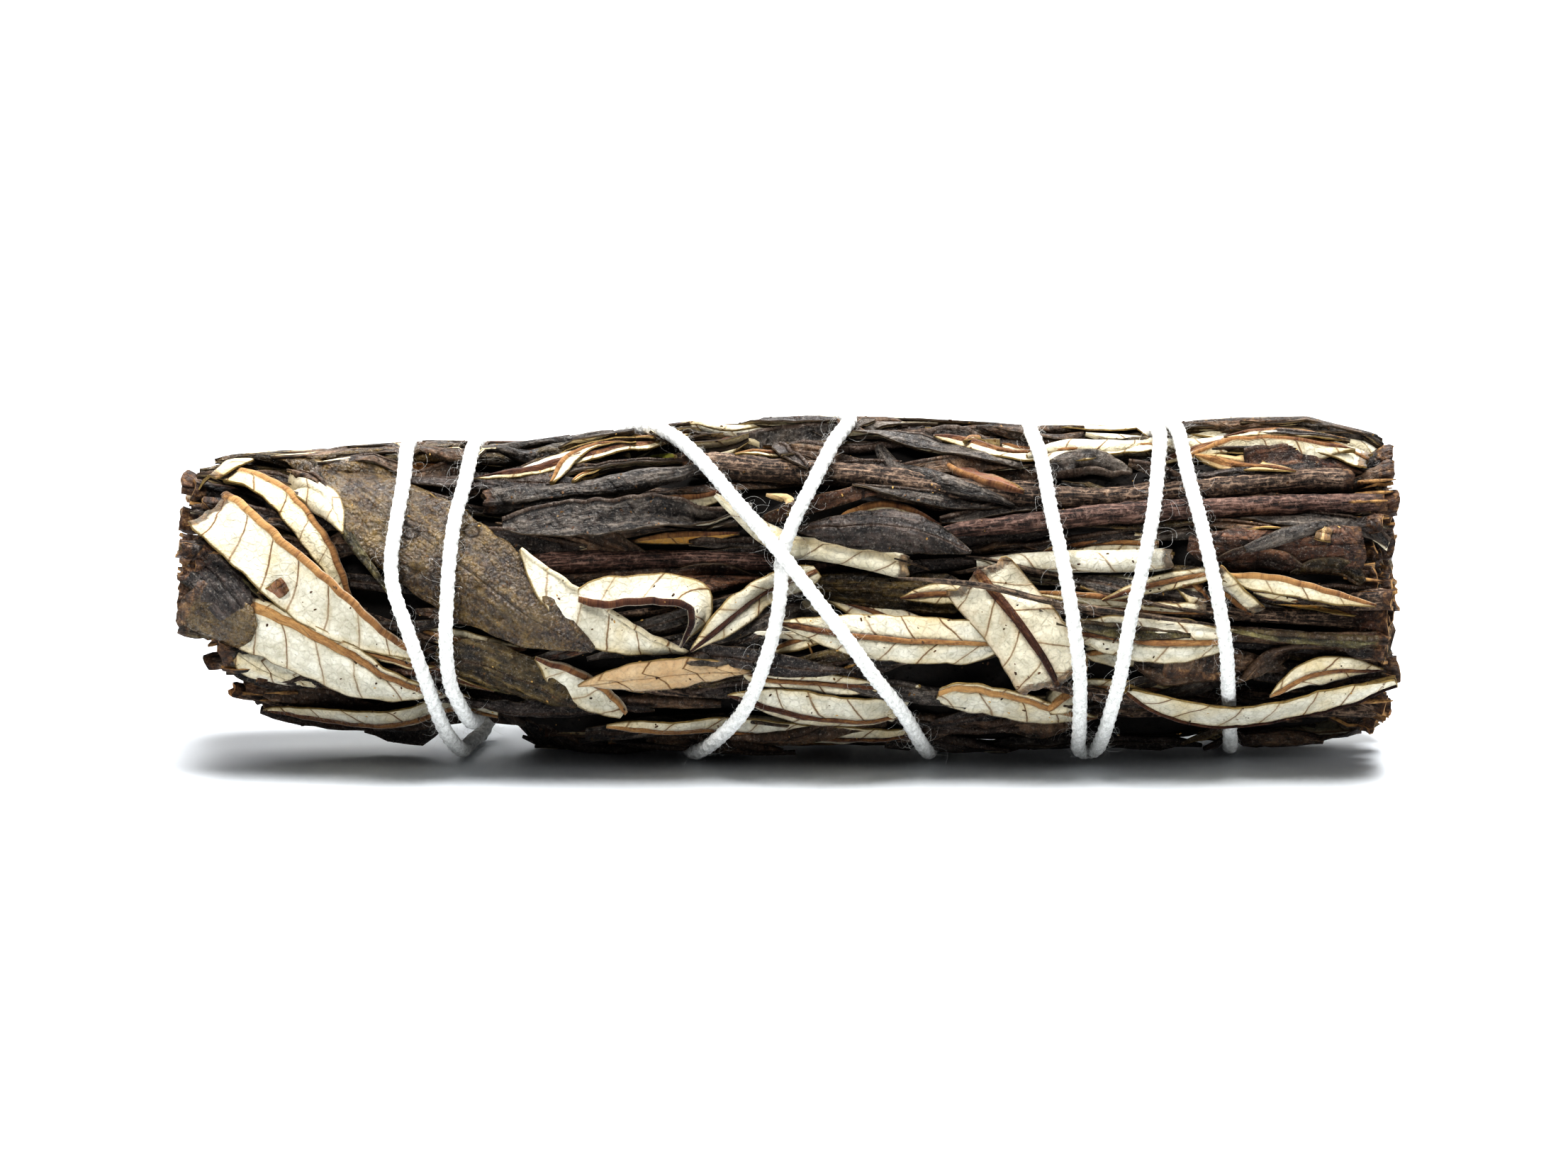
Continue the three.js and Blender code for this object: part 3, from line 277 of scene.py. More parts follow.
stringRoute = [
  # from the knot up the back and down the front, left of the middle
  (-26.6, 161), (-22, 150), (-14, 134), (-5, 118), (2, 107), (5, 94),
  (3.5, 67), (2, 51), (0.5, 38), (-0.5, 25), (-0.6, 12), (-1, -2),
  (-2, -17), (-3.5, -34), (-6, -54), (-8, -75),
  # up the back and down the front, right of the middle
  (-8, -110), (-4, -140), (4, -170), (14, -203), (24, -235), (30, -258),
  (30.7, -278), (30.5, -296), (30, -319), (29, -341), (28, -359), (27.3, -378),
  (26.5, -396), (25.8, -415),
  # a hook under the bundle, and up the front again beside it
  (25.5, -423), (24.8, -427.5), (24.1, -423),
  (24, -405), (23.9, -378), (23.4, -360), (22.5, -338), (21.6, -320), (20.9, -297), (20, -265),
  # down the back and up the front near the right end
  (21, -238), (25, -212), (30, -176), (34, -140), (36.2, -106), (36.7, -80),
  (36.5, -58), (36.2, -31), (35.9, -10), (35.2, 8), (34.1, 30), (32.8, 57), (32.2, 85),
  # down the back and up the front, from lower right to upper left
  (31.5, 106), (29, 128), (24, 162), (18, 200), (14, 238), (12.2, 268), (11.4, 295),
  (9.5, 323), (7, 340), (4.6, 355), (2.2, 368), (-0.4, 382), (-2.3, 392), (-5, 407),
  (-8, 428), (-10.6, 449), (-13, 466),
  # down the back and up the front, second turn from the left end
  (-15.5, 484), (-17.5, 505), (-20, 540), (-22.6, 575), (-24.6, 610), (-25.4, 635), (-25.8, 656),
  (-26.8, 682), (-27.8, 698), (-28.1, 715), (-28, 730), (-27.8, 745), (-27.4, 761),
  (-26.6, 780), (-26, 810),
  # down the back and up the front, first turn from the left end, and back to the knot
  (-25.2, 845), (-24, 880), (-23.6, 915), (-24.6, 955), (-26.4, 990), (-27.3, 1013),
  (-28.2, 1029), (-29.2, 1048), (-30.2, 1064), (-31.3, 1079), (-32.4, 1094), (-32.6, 1104),
  (-32.2, 1120), (-31.7, 1139), (-31.5, 1170), (-31, 1196), (-29.8, 1222), (-27.6, 1241),
]
knotPlace = (-27.1, 160)
tailRoutes = [
  [(-27.4, 162), (-29.6, 169), (-32.5, 177), (-34.2, 188)],
  [(-26.9, 161), (-26.8, 173), (-28.2, 184), (-27.6, 198)],
]



# How a piece ends: share of its full width at the tip, part of its length that narrows
endShapes = {"point": (0.06, 0.5), "taper": (0.35, 0.3), "round": (0.4, 0.16), "cut": (0.88, 0.06)}

# Which skin a node's leaf shows, where its name alone doesn't say it
skins = {
    "dark_leaf_01": "charcoal", "dark_leaf_02": "olive", "dark_leaf_03": "black", "dark_leaf_04": "olive",
    "dark_leaf_05": "charcoal", "dark_leaf_06": "black", "dark_leaf_07": "olive", "dark_leaf_08": "brownish",
    "dark_leaf_09": "brownish", "dark_leaf_10": "olive", "dark_leaf_11": "black", "dark_leaf_12": "brownish",
    "dark_leaf_13": "olive", "dark_leaf_14": "black", "dark_leaf_15": "charcoal", "dark_leaf_18": "black",
    "stem_02": "redBark", "stem_03": "redBark", "stem_07": "ochre", "dark_leaf_16": "bigOlive",
    "brown_leaf_01": "rust", "pale_leaf_21": "beige", "pale_leaf_26": "spotted", "pale_leaf_24": "cream",
    "pale_leaf_27": "cream",
    "pale_leaf_19": "cream", "pale_leaf_14": "cream", "pale_leaf_17": "beige",
}
# Midribs that are broader (mm) or darker (0 tan, 1 dark reddish brown) than most
ribs = {
    "pale_leaf_26": (0.6, 0.8), "pale_leaf_22": (0.6, 0.9), "pale_leaf_19": (0.7, 0.1),
    "pale_leaf_20": (0.75, 0.1), "pale_leaf_01": (0.7, 0.1), "pale_leaf_23": (0.45, 0.7),
    "pale_leaf_25": (0.4, 0.3), "pale_leaf_04": (0.5, 0.6), "pale_leaf_08": (0.5, 0.0),
    "pale_leaf_03": (0.6, 0.6), "pale_leaf_21": (0.0, 0.0), "pale_leaf_27": (0.45, 0.1),
    "pale_leaf_06": (0.2, 0.5), "pale_leaf_24": (0.0, 0.0), "dark_leaf_16": (0.0, 0.1),
    "brown_leaf_01": (0.0, 0.0), "dark_leaf_02": (0.0, 0.0), "pale_leaf_29": (0.2, 0.9),
    "pale_leaf_28": (0.25, 0.4), "crossing_leaf": (0.5, 0.2), "crossing_left": (0.5, 0.2),
}
raised = {"cream_tip": 1.0, "top_left_dark": 1.6, "top_edge_outer": 0.9}  # millimetres above what they lie on
plainOnes = {"brown_flake", "tan_chip", "yellow_green_bit", "dark_triangle", "glossy_patch",
             "olive_over_left",
             "felt_curl", "rust_flap", "felt_shade", "top_left_dark", "cream_tip"}  # no midrib

# Small pieces that only show here: name, form, width, rib, ends, skin, over or under which node, route
smallPieces = [
    # left end
    ("dark_fold", "fold", 2.0, -1, "taper point", "olive", "under", "pale_leaf_19",
     [(-45.4, 60), (-43.2, 44), (-40.6, 34), (-38.1, 19), (-36.1, 6)]),
    ("glossy_patch", "blade", 4.6, 0, "cut round", "black", "under", "pale_leaf_20",
     [(-49.4, 26), (-47.6, 18), (-46, 8), (-44.4, -1)]),
    ("green_margin", "fold", 0.8, 1, "point point", "greenish", "over", "pale_leaf_20",
     [(-47.6, 37), (-46, 23), (-44.3, 12), (-43, 5)]),
    ("cream_tip", "blade", 2.0, 0, "cut round", "cream", "over", "pale_leaf_19",
     [(-48.4, 70), (-46.6, 80), (-44.6, 92)]),
    ("top_left_dark", "blade", 2.6, 0, "taper point", "bigOlive", "under", "pale_leaf_19",
     [(-45.6, 103), (-42.6, 97), (-40.2, 84), (-37.9, 70)]),
    ("brown_flake", "blade", 1.3, 0, "cut cut", "flake", "over", "pale_leaf_20",
     [(-43.8, 4), (-42.4, 9), (-40.8, 16)]),
    ("olive_over_left", "blade", 4.4, 0, "cut round", "bigOlive", "over", "pale_leaf_01",
     [(-50, 4), (-47.1, -4), (-43.9, -10)]),
    ("felt_shade", "blade", 3.0, 0, "taper taper", "felt", "under", "pale_leaf_01",
     [(-45.4, -24), (-42.6, -34), (-39, -41)]),
    ("stub_upper", "stem", 1.7, 0, "cut taper", "bark", "under", "pale_leaf_01",
     [(-48.3, -44), (-45.4, -41), (-42, -40)]),
    ("stub_lower", "stem", 1.3, 0, "cut taper", "bark", "under", "pale_leaf_02",
     [(-46.3, -62), (-44.2, -68), (-41, -76)]),
    ("dark_wave_low", "fold", 1.9, 1, "taper point", "black", "over", "dark_leaf_03",
     [(-46.3, -36), (-44.5, -46), (-41.9, -44), (-38.7, -38), (-35.5, -42)]),
    ("dark_wave_bottom", "roll", 1.2, 0, "taper point", "brownish", "over", "pale_leaf_02",
     [(-42, -52), (-38, -47), (-34, -50), (-30, -49)]),
    ("felt_curl", "blade", 2.2, 0, "round point", "felt", "over", "dark_leaf_16",
     [(-41.4, 72), (-39.5, 61), (-37.7, 50), (-36.6, 36)]),
    ("curl_inside", "fold", 0.8, 1, "point point", "brownish", "under", "string",
     [(-41.4, 74), (-39.6, 69), (-37.9, 58)]),
    ("dark_stub", "stem", 1.8, 0, "cut taper", "bark", "under", "string",
     [(-29.4, 74), (-27.4, 69), (-24.8, 66)]),
    ("pale_curl_knob", "fold", 0.9, 1, "point point", "cream", "under", "string",
     [(-30, 62), (-28.3, 57), (-26.4, 56)]),
    ("lower_dark_sweep", "roll", 2.0, 0, "taper point", "black", "under", "pale_leaf_20",
     [(-36, -47), (-31, -50), (-25, -49), (-18, -50)]),
    ("pale_bit_left", "blade", 1.9, 0, "taper point", "felt", "under", "dark_leaf_16",
     [(-30, -4.5), (-26, -8), (-21.5, -10)]),
    ("green_band", "fold", 1.5, 1, "taper point", "greenish", "under", "dark_leaf_17",
     [(-30, -25), (-25.5, -30), (-20, -36)]),
    # upper middle
    ("yellow_green_bit", "blade", 1.6, 0, "point point", "green", "over", "dark_leaf_05",
     [(-14.2, 90), (-12, 92.4), (-9.2, 91)]),
    ("curl_outer", "fold", 1.0, 1, "taper point", "felt", "over", "pale_leaf_03",
     [(-19.4, 62), (-18, 73), (-16, 81), (-12.6, 85)]),
    ("curl_inner", "fold", 0.8, 1, "taper point", "cream", "over", "pale_leaf_03",
     [(-17.6, 60), (-16.4, 69), (-14.6, 76), (-12, 79)]),
    ("top_edge_outer", "fold", 1.0, 1, "point point", "charcoal", "over", "stem_06",
     [(-9.4, 92), (-2.9, 98), (4.9, 91), (12.4, 93)]),
    ("top_edge_middle", "fold", 1.0, -1, "point point", "black", "over", "stem_06",
     [(-5.8, 79), (-1.5, 85), (4.2, 80), (12.4, 81)]),
    ("top_edge_inner", "fold", 1.1, 1, "point point", "brownish", "over", "stem_06",
     [(-0.6, 67), (2.1, 72), (6.7, 72), (12.4, 71)]),
    ("top_pale_bit", "blade", 1.3, 0, "point point", "felt", "over", "stem_06",
     [(-4.4, 70), (-1.9, 75), (0.4, 77)]),
    ("straw_top_left", "stem", 0.9, 0, "cut cut", "straw", "over", "stem_01",
     [(3.2, 69), (5.4, 68), (7.8, 67)]),
    ("straw_top_right", "stem", 0.9, 0, "cut cut", "straw", "over", "stem_01",
     [(10.6, 67), (12, 66), (13.8, 64)]),
    ("dark_twist", "roll", 1.9, 0, "taper point", "charcoal", "over", "stem_01",
     [(7.4, 80), (9, 69), (11.6, 61), (15, 54), (18.6, 50)]),
    ("reddish_leaf", "fold", 1.8, -1, "taper point", "flake", "over", "stem_01",
     [(12.6, 77), (14.4, 67), (16.6, 60), (19.4, 53)]),
    ("upright_dark", "fold", 1.3, 1, "round point", "black", "over", "stem_01",
     [(-0.9, 80), (-0.1, 70), (1.7, 60)]),
    ("bark_strip_upper", "stem", 1.3, 0, "taper taper", "bark", "over", "stem_01",
     [(14.5, 63), (20, 61), (28, 62.5), (36, 64), (44, 67)]),
    ("bark_strip_middle", "stem", 1.3, 0, "taper taper", "bark", "under", "stem_01",
     [(6, 51), (15, 51.5), (24, 52), (34, 52.5), (45, 56)]),
    ("top_curl_left", "roll", 1.6, 0, "point round", "charcoal", "over", "stem_01",
     [(-8.5, 84), (-4.5, 82), (0.5, 86)]),
    ("charcoal_above_strip", "roll", 2.0, 0, "point point", "charcoal", "under", "dark_leaf_05",
     [(-22, 50), (-17, 50), (-11, 52), (-5, 56)]),
    ("pale_margin_strip", "fold", 1.2, 1, "point point", "felt", "over", "dark_leaf_05",
     [(-15, 50), (-11.3, 53.5), (-7.2, 57), (-4.5, 59)]),
    ("small_hook", "roll", 0.8, 0, "point cut", "tan", "under", "pale_leaf_24",
     [(-1.8, 54), (0, 52), (0.2, 43)]),
    ("upper_edge_leaf", "fold", 1.5, 1, "taper point", "felt", "under", "dark_leaf_18",
     [(3.2, 37), (5.4, 43), (8, 46), (13, 41)]),
    ("ochre_sliver_upper", "fold", 0.9, 1, "point point", "straw", "under", "stem_03",
     [(-13, 37), (-8.5, 38.5), (-4, 40.5)]),
    ("ochre_sliver_lower", "fold", 0.7, 1, "point point", "straw", "under", "stem_03",
     [(-12, 33), (-8, 33), (-3.6, 33.5)]),
    ("thin_edge_left", "stem", 0.5, 0, "taper taper", "twig", "under", "pale_leaf_24",
     [(-3, 38), (-6.5, 34), (-8.5, 31)]),
    # lower middle
    ("dark_flat", "blade", 3.6, 0, "taper point", "rust", "under", "pale_leaf_22",
     [(-11.5, 13), (-6.9, 17), (-2, 19)]),
    ("charcoal_leaf", "blade", 3.6, 0, "point point", "charcoal", "under", "pale_leaf_23",
     [(-8.5, -15.5), (-4, -12), (0, -6), (3.5, -1)]),
    ("curl_by_crossing", "roll", 1.4, 0, "cut point", "felt", "under", "pale_leaf_23",
     [(-1, 0.5), (1.6, -3), (4.2, -7), (6.4, -12)]),
    ("tendril", "stem", 0.3, 0, "taper taper", "straw", "over", "pale_leaf_25",
     [(1.6, -11), (2.4, -19), (4.4, -22), (6.4, -15)]),
    ("felt_strip_low", "fold", 0.9, 1, "point point", "felt", "over", "pale_leaf_23",
     [(-1.6, -17), (1.3, -12.5), (4, -9)]),
    ("pale_tips", "fold", 1.6, 1, "point point", "cream", "under", "pale_leaf_21",
     [(-13.4, -36), (-10.4, -37), (-7, -38)]),
    ("right_curl", "roll", 1.1, 0, "cut point", "felt", "over", "pale_leaf_04",
     [(7.8, -52), (9.2, -39), (10.8, -29)]),
    ("brown_edge_middle", "fold", 1.6, 1, "point point", "brownish", "under", "pale_leaf_08",
     [(8, -47), (14, -50), (20, -51), (28, -50)]),
    ("bottom_dark_stem", "stem", 1.3, 0, "taper taper", "bark", "under", "string",
     [(9, -60), (15, -57), (23, -57), (30, -60)]),
    # right of the middle
    ("small_tip", "blade", 2.2, 0, "point cut", "cream", "under", "pale_leaf_26",
     [(9.2, 6.5), (12, 9), (16, 9)]),
    ("felt_upper", "blade", 2.1, 0, "point taper", "felt", "under", "stem_02",
     [(21, 32), (25.2, 35), (30.5, 34)]),
    ("curled_loop", "roll", 1.2, 0, "round point", "brownish", "under", "stem_02",
     [(15.2, 32), (17.6, 35.5), (21, 33)]),
    ("felt_band", "blade", 1.9, 0, "point cut", "felt", "under", "twig_01", [(24, 4.5), (29, 3), (34.5, 1)]),
    ("felt_patch", "blade", 2.2, 0, "taper cut", "felt", "under", "pale_leaf_07",
     [(24, 15), (29, 13.5), (34.5, 13)]),
    ("sliver_felt", "fold", 1.0, 1, "point point", "felt", "under", "twig_01",
     [(19.6, 11), (25, 8), (30.6, 5.4)]),
    ("sliver_dark", "fold", 1.1, 1, "point point", "charcoal", "under", "twig_01",
     [(20.6, 4), (26, 0.5), (32, -2)]),
    ("sliver_green", "fold", 0.9, 1, "point point", "greenish", "under", "twig_01",
     [(22, -1), (27, -4), (33, -6)]),
    ("twig_middle", "stem", 0.5, 0, "taper taper", "twig", "over", "pale_leaf_26",
     [(8.7, 24), (13, 20), (19.6, 20), (26, 14), (33, 6)]),
    ("twig_upper", "stem", 0.6, 0, "taper taper", "twig", "over", "pale_leaf_06",
     [(14.6, 28), (19.6, 21.5), (25.2, 16.5), (30.2, 10), (38, 1)]),
    ("twig_lower", "stem", 0.45, 0, "taper taper", "twig", "over", "pale_leaf_26",
     [(20, 17), (26, 11), (31, 5), (38, -2)]),
    ("lower_patch", "blade", 3.4, 0.2, "taper point", "felt", "under", "dark_leaf_09",
     [(24.5, -17), (29, -16), (34, -17.5)]),
    ("dark_triangle", "blade", 5.4, 0, "cut point", "brownish", "over", "dark_leaf_09",
     [(33.3, -26), (33.8, -17), (34.5, -8)]),
    ("bottom_pale_leaf", "blade", 2.2, 0.4, "round point", "felt", "under", "string",
     [(21.4, -36), (24.4, -32), (29, -33), (34, -39)]),
    # upper right
    ("felt_top_first", "fold", 1.4, 1, "point point", "felt", "over", "pale_leaf_10",
     [(14.6, 76), (16, 85), (19.8, 93)]),
    ("felt_top_second", "roll", 1.6, 0, "point point", "felt", "over", "pale_leaf_10",
     [(19.7, 71), (22.9, 79), (27.2, 78), (30, 88)]),
    ("dark_top_third", "fold", 1.2, -1, "point point", "charcoal", "over", "pale_leaf_10",
     [(20.6, 66), (24.6, 72), (28.4, 67)]),
    ("felt_right_first", "fold", 1.8, 1, "point point", "felt", "over", "pale_leaf_09",
     [(32.4, 76), (37, 76), (42, 73), (46.8, 73)]),
    ("felt_right_third", "blade", 2.2, 0, "point taper", "felt", "over", "pale_leaf_09",
     [(36, 81), (40.5, 83), (46.2, 80)]),
    ("felt_right_second", "fold", 2.0, -1, "point point", "felt", "over", "pale_leaf_09",
     [(34.6, 87), (38.7, 91), (42.7, 88), (46.6, 91)]),
    ("dark_right_edge", "fold", 0.9, 1, "point point", "charcoal", "over", "pale_leaf_09",
     [(31.8, 98), (34.9, 94), (38.7, 83), (42.7, 79), (46.4, 78)]),
    ("greenish_right", "blade", 1.6, 0, "point point", "tan", "over", "stem_01",
     [(33.5, 70), (37.3, 67), (41.8, 60)]),
    ("dark_under_felt", "roll", 1.5, 0, "point taper", "black", "over", "stem_01",
     [(31.5, 63), (38.7, 64), (44.1, 68), (48.8, 76)]),
    # right
    ("ochre_leaf", "fold", 1.3, 1, "point point", "straw", "over", "brown_leaf_01",
     [(35, 35), (37.4, 36.5), (40.4, 33)]),
    ("twisted_stub", "roll", 1.3, 0, "taper cut", "charcoal", "over", "brown_leaf_01",
     [(37.4, 25), (40, 29), (43.1, 33.5), (46.8, 41)]),
    ("rust_flap", "blade", 1.9, 0, "point taper", "rust", "over", "brown_leaf_01",
     [(34.4, 21.5), (38.7, 22.5), (42, 18.5)]),
    ("tan_chip", "blade", 1.4, 0, "cut cut", "tan", "over", "brown_leaf_01",
     [(42.4, 31.5), (43.8, 31), (45.3, 30)]),
    ("hooked_leaf", "fold", 1.2, -1, "point round", "olive", "over", "brown_leaf_01",
     [(41.2, 17), (43.4, 20), (45.8, 19.5), (47.2, 14)]),
    ("crossing_leaf", "fold", 1.5, -1, "cut cut", "cream", "over", "pale_leaf_27",
     [(34.8, 19), (36.6, 10), (38.8, 0)]),
    ("crossing_left", "fold", 1.6, 1, "cut cut", "cream", "over", "pale_leaf_27",
     [(31.6, 20), (32.9, 12), (34.3, 3)]),
    ("below_cream", "fold", 1.1, 1, "point taper", "cream", "under", "pale_leaf_27",
     [(37, 11), (41.8, 6.6), (48, 2.4)]),
    ("below_straw", "fold", 1.0, 1, "point taper", "straw", "under", "pale_leaf_27",
     [(37.4, 8), (42, 3.8), (48, 0)]),
    ("thin_stem_right", "stem", 0.8, 0, "taper cut", "bark", "over", "stem_05",
     [(29, 3.4), (38.7, -2.6), (49.8, -6.6)]),
    ("olive_edge_right", "fold", 0.9, 1, "point cut", "greenish", "over", "dark_leaf_08",
     [(36, -5.5), (42.7, -9), (49.6, -10)]),
    ("black_band_right", "roll", 1.2, 0, "taper cut", "black", "over", "dark_leaf_08",
     [(36.6, -14), (43.7, -17), (49.8, -16)]),
    ("dark_sweep_right", "fold", 2.0, 1, "point cut", "brownish", "under", "pale_leaf_28",
     [(36.8, -30), (39.7, -19), (43.2, -15.5), (49, -15)]),
    ("brown_edge_bottom", "fold", 1.3, -1, "taper cut", "brownish", "over", "stem_04",
     [(30, -46), (37, -49), (43, -45), (49.6, -40)]),
]


def widthShare(ends, share):
    def grown(end, distance):
        tip, part = endShapes[end]
        return tip + (1 - tip) * np.sin(np.minimum(1, distance / part) * np.pi / 2)
    return grown(ends[0], share) * grown(ends[1], 1 - share)


# Heights. Rays run from outside to the middle of the bundle, through the CAD solids.

order = ["pale_leaf_29", "string"] + [piece["node"] for piece in reversed(pieces)] + ["packed_leaves"]
rankOf = {node: rank for rank, node in enumerate(order)}  # 0 lies outermost


def readSolids():
    corners, triangles, owners = [], [], []
    for node, obj in sorted(frame["nodes"].items()):
        flat = np.empty(len(obj.data.vertices) * 3)
        obj.data.vertices.foreach_get("co", flat)
        first = sum(len(block) for block in corners)
        corners.append(flat.reshape(-1, 3) * 1000)
        triangles += [[first + k for k in face.vertices] for face in obj.data.polygons]
        owners += [rankOf[node]] * len(obj.data.polygons)
    return BVHTree.FromPolygons(np.vstack(corners).tolist(), triangles), owners


solids, solidRanks = readSolids()


def layersAt(x, angle):
    # what a ray meets, outermost first: rank, outer radius, inner radius
    a, start = math.radians(angle), 20.0
    inwards = Vector((0, math.cos(a), -math.sin(a)))
    origin = Vector((x, 0, float(axisHeight(x)))) - inwards * start
    travelled, opened, found = 0.0, {}, []
    while travelled < start:
        place, normal, face, length = solids.ray_cast(
            origin + inwards * travelled, inwards, start - travelled)
        if place is None:
            break
        travelled += length + 1e-4
        rank, r = solidRanks[face], start - travelled
        if normal.dot(inwards) < 0:
            opened.setdefault(rank, r)
        elif rank in opened:
            found.append((rank, opened.pop(rank), r))
    found += [(rank, r, 0.0) for rank, r in opened.items()]
    return sorted(found, key=lambda layer: -layer[1])


def freeRadius(x, angle):
    # out to the outline, or down to just over the floor
    down = np.maximum(-np.sin(np.radians(angle)), 1e-3)
    return np.minimum(radiusAt(x), (axisHeight(x) - 0.2) / down)


def smoothRows(grid, reach):
    # a soft average over that many rows each way, also of a single column
    reach = max(1, int(round(reach)))
    weights = np.exp(-0.5 * (np.arange(-2 * reach, 2 * reach + 1) / reach) ** 2)
    weights /= weights.sum()
    padded = np.pad(grid, ((2 * reach, 2 * reach), (0, 0)), mode="edge")
    return sum(w * padded[k:k + len(grid)] for k, w in enumerate(weights))


def fillGaps(values):
    # numbers missing from a row are taken from what lies nearest
    known = np.flatnonzero(~np.isnan(values))
    if len(known) == 0:
        return values
    return np.interp(np.arange(len(values)), known, values[known])


acrossPlaces = np.array([-0.9, -0.6, -0.3, 0, 0.3, 0.6, 0.9])


def measureLevels(path, half, rank, ownRank=None, lift=0.3):
    # for each row and each place across: the level of the outer face, and what it stays under
    rows = np.unique(np.linspace(0, len(path["s"]) - 1,
                                 max(4, int(path["length"] / 0.9))).round().astype(int))
    level = np.full((len(rows), len(acrossPlaces)), np.nan)
    cover, under = np.full(level.shape, 99.0), np.full(level.shape, 0.0)
    x, angle = beside(path, half[:, None] * acrossPlaces)
    for i, row in enumerate(rows):
        for j in range(len(acrossPlaces)):
            for layerRank, outer, inner in layersAt(x[row, j], angle[row, j]):
                if layerRank < rank:
                    cover[i, j] = min(cover[i, j], inner)
                elif layerRank == ownRank or (ownRank is None and layerRank > rank):
                    level[i, j] = np.nanmax([level[i, j], outer])
                elif layerRank < rankOf["packed_leaves"]:
                    under[i, j] = max(under[i, j], outer)
    level = np.array([fillGaps(row) for row in level])
    level = np.array([fillGaps(column) for column in level.T]).T
    if np.isnan(level).any():
        level = np.nan_to_num(level, nan=float(np.min(cover)) - 0.6)
    if ownRank is None:  # bridges the hollows and lies on what stands highest
        raised = np.pad(level, ((1, 1), (0, 0)), mode="edge")
        level = np.maximum.reduce([raised[:-2], raised[1:-1], raised[2:]]) + lift
    level = np.maximum(level, np.minimum(under + 0.3, level + 1.0))
    level = smoothRows(level, 1)
    level[:, 1:-1] = 0.25 * level[:, :-2] + 0.5 * level[:, 1:-1] + 0.25 * level[:, 2:]
    every = np.arange(len(path["s"]))
    spread = lambda grid: np.column_stack([np.interp(every, rows, column) for column in grid.T])
    return smoothRows(spread(level), 1.2), spread(cover)


def acrossRows(grid, share):
    # values at each column's place across, from those at acrossPlaces
    return np.array([np.interp(places, acrossPlaces, row) for places, row in zip(share, grid)])


# Sections. Each gives distances to the left of the route, heights over the outer level and what
# the materials read, all as rows by columns. A column's order runs to the left on the outside.

def bladeSection(strip, half, share, spacing):
    ribWidth, _ = strip["ribFinish"]
    wide = np.minimum(ribWidth / 2 * (1.1 - 0.6 * share), 0.25 * half)[:, None]
    ribAt = strip["rib"] * np.maximum(half[:, None] - 0.45, 0)
    edge = half[:, None]
    leftCount = max(3, round((1 + strip["rib"]) * strip["width"] / 2 / spacing))
    rightCount = max(3, round((1 - strip["rib"]) * strip["width"] / 2 / spacing))
    ribPart = np.array([-1, -0.5, 0.5, 1])
    left = np.hstack([
        -edge + (ribAt - 1.35 * wide + edge) * np.linspace(0, 1, leftCount),
        ribAt + wide * ribPart,
        ribAt + 1.35 * wide + (edge - ribAt - 1.35 * wide) * np.linspace(0, 1, rightCount)])
    ribMask = np.zeros(left.shape)
    ribMask[:, leftCount:leftCount + 4] = 1.0 if ribWidth else 0.0
    ribHump = np.zeros(left.shape)
    ribHump[:, leftCount + 1:leftCount + 3] = 1
    margin = np.minimum(edge - left, edge + left)
    curl = np.clip(1 - margin / 0.7, 0, 1) ** 2 * (half[:, None] > 0.8)
    outside = strip["feltOut"]
    height = ribHump * (0.2 if outside else -0.1) * np.minimum(1, wide / 0.15)
    lifted = 0.3 + bumps(share[:, None] * strip["length"], np.sign(left) * 9, 4, strip["seed"])
    height = height + curl * (0.16 if outside else -0.14) * lifted
    return {"left": left, "height": height, "rib": ribMask, "across": left - ribAt, "margin": margin}


def foldSection(strip, half, share, spacing):
    ribWidth, _ = strip["ribFinish"]
    tube = np.minimum(max(0.8 * ribWidth, 0.25) * (1.1 - 0.5 * share), 0.5 * half)[:, None]
    edge = half[:, None]
    faceCount = max(4, round(strip["width"] / spacing))
    face = -edge + (2 * edge - 1.15 * tube) * np.linspace(0, 1, faceCount)
    tubeLeft = edge - tube * np.array([0.95, 0.6, 0.15, 0.0, 0.15, 0.7])
    tubeHeight = np.array([0.05, 0.14, 0.06, -0.14, -0.36, -0.5])
    back = edge - tube - 1.5 * (edge - tube) * np.linspace(0.15, 1, 4)
    left = np.hstack([face, tubeLeft, back])
    rowsOf = lambda values: np.broadcast_to(values, (len(half), len(values)))
    thin = np.minimum(1, half / 0.6)[:, None]
    margin = np.hstack([face + edge, 9 + 0 * tubeLeft, 9 + 0 * back])
    lip = np.clip(1 - (face + edge) / 0.6, 0, 1) ** 2 * 0.12
    height = np.hstack([lip, rowsOf(tubeHeight) * thin, rowsOf([-0.52, -0.56, -0.6, -0.62]) * thin])
    hollow = np.clip((face + edge) / np.maximum(2 * edge, 0.1), 0, 1)
    height[:, :faceCount] -= 0.12 * np.sin(math.pi * hollow) * thin
    mask = np.hstack([0 * face, rowsOf([1.0, 1, 1, 0.5, 0, 0]), 0 * back]) * (1.0 if ribWidth else 0.0)
    across = np.hstack([face - edge, 0 * tubeLeft, back - edge])
    section = {"left": left, "height": height, "rib": mask, "across": across, "margin": margin}
    if strip["rib"] < 0:
        section = {key: values[:, ::-1] for key, values in section.items()}
        section["left"] = -section["left"]
        section["across"] = -section["across"]
    return section


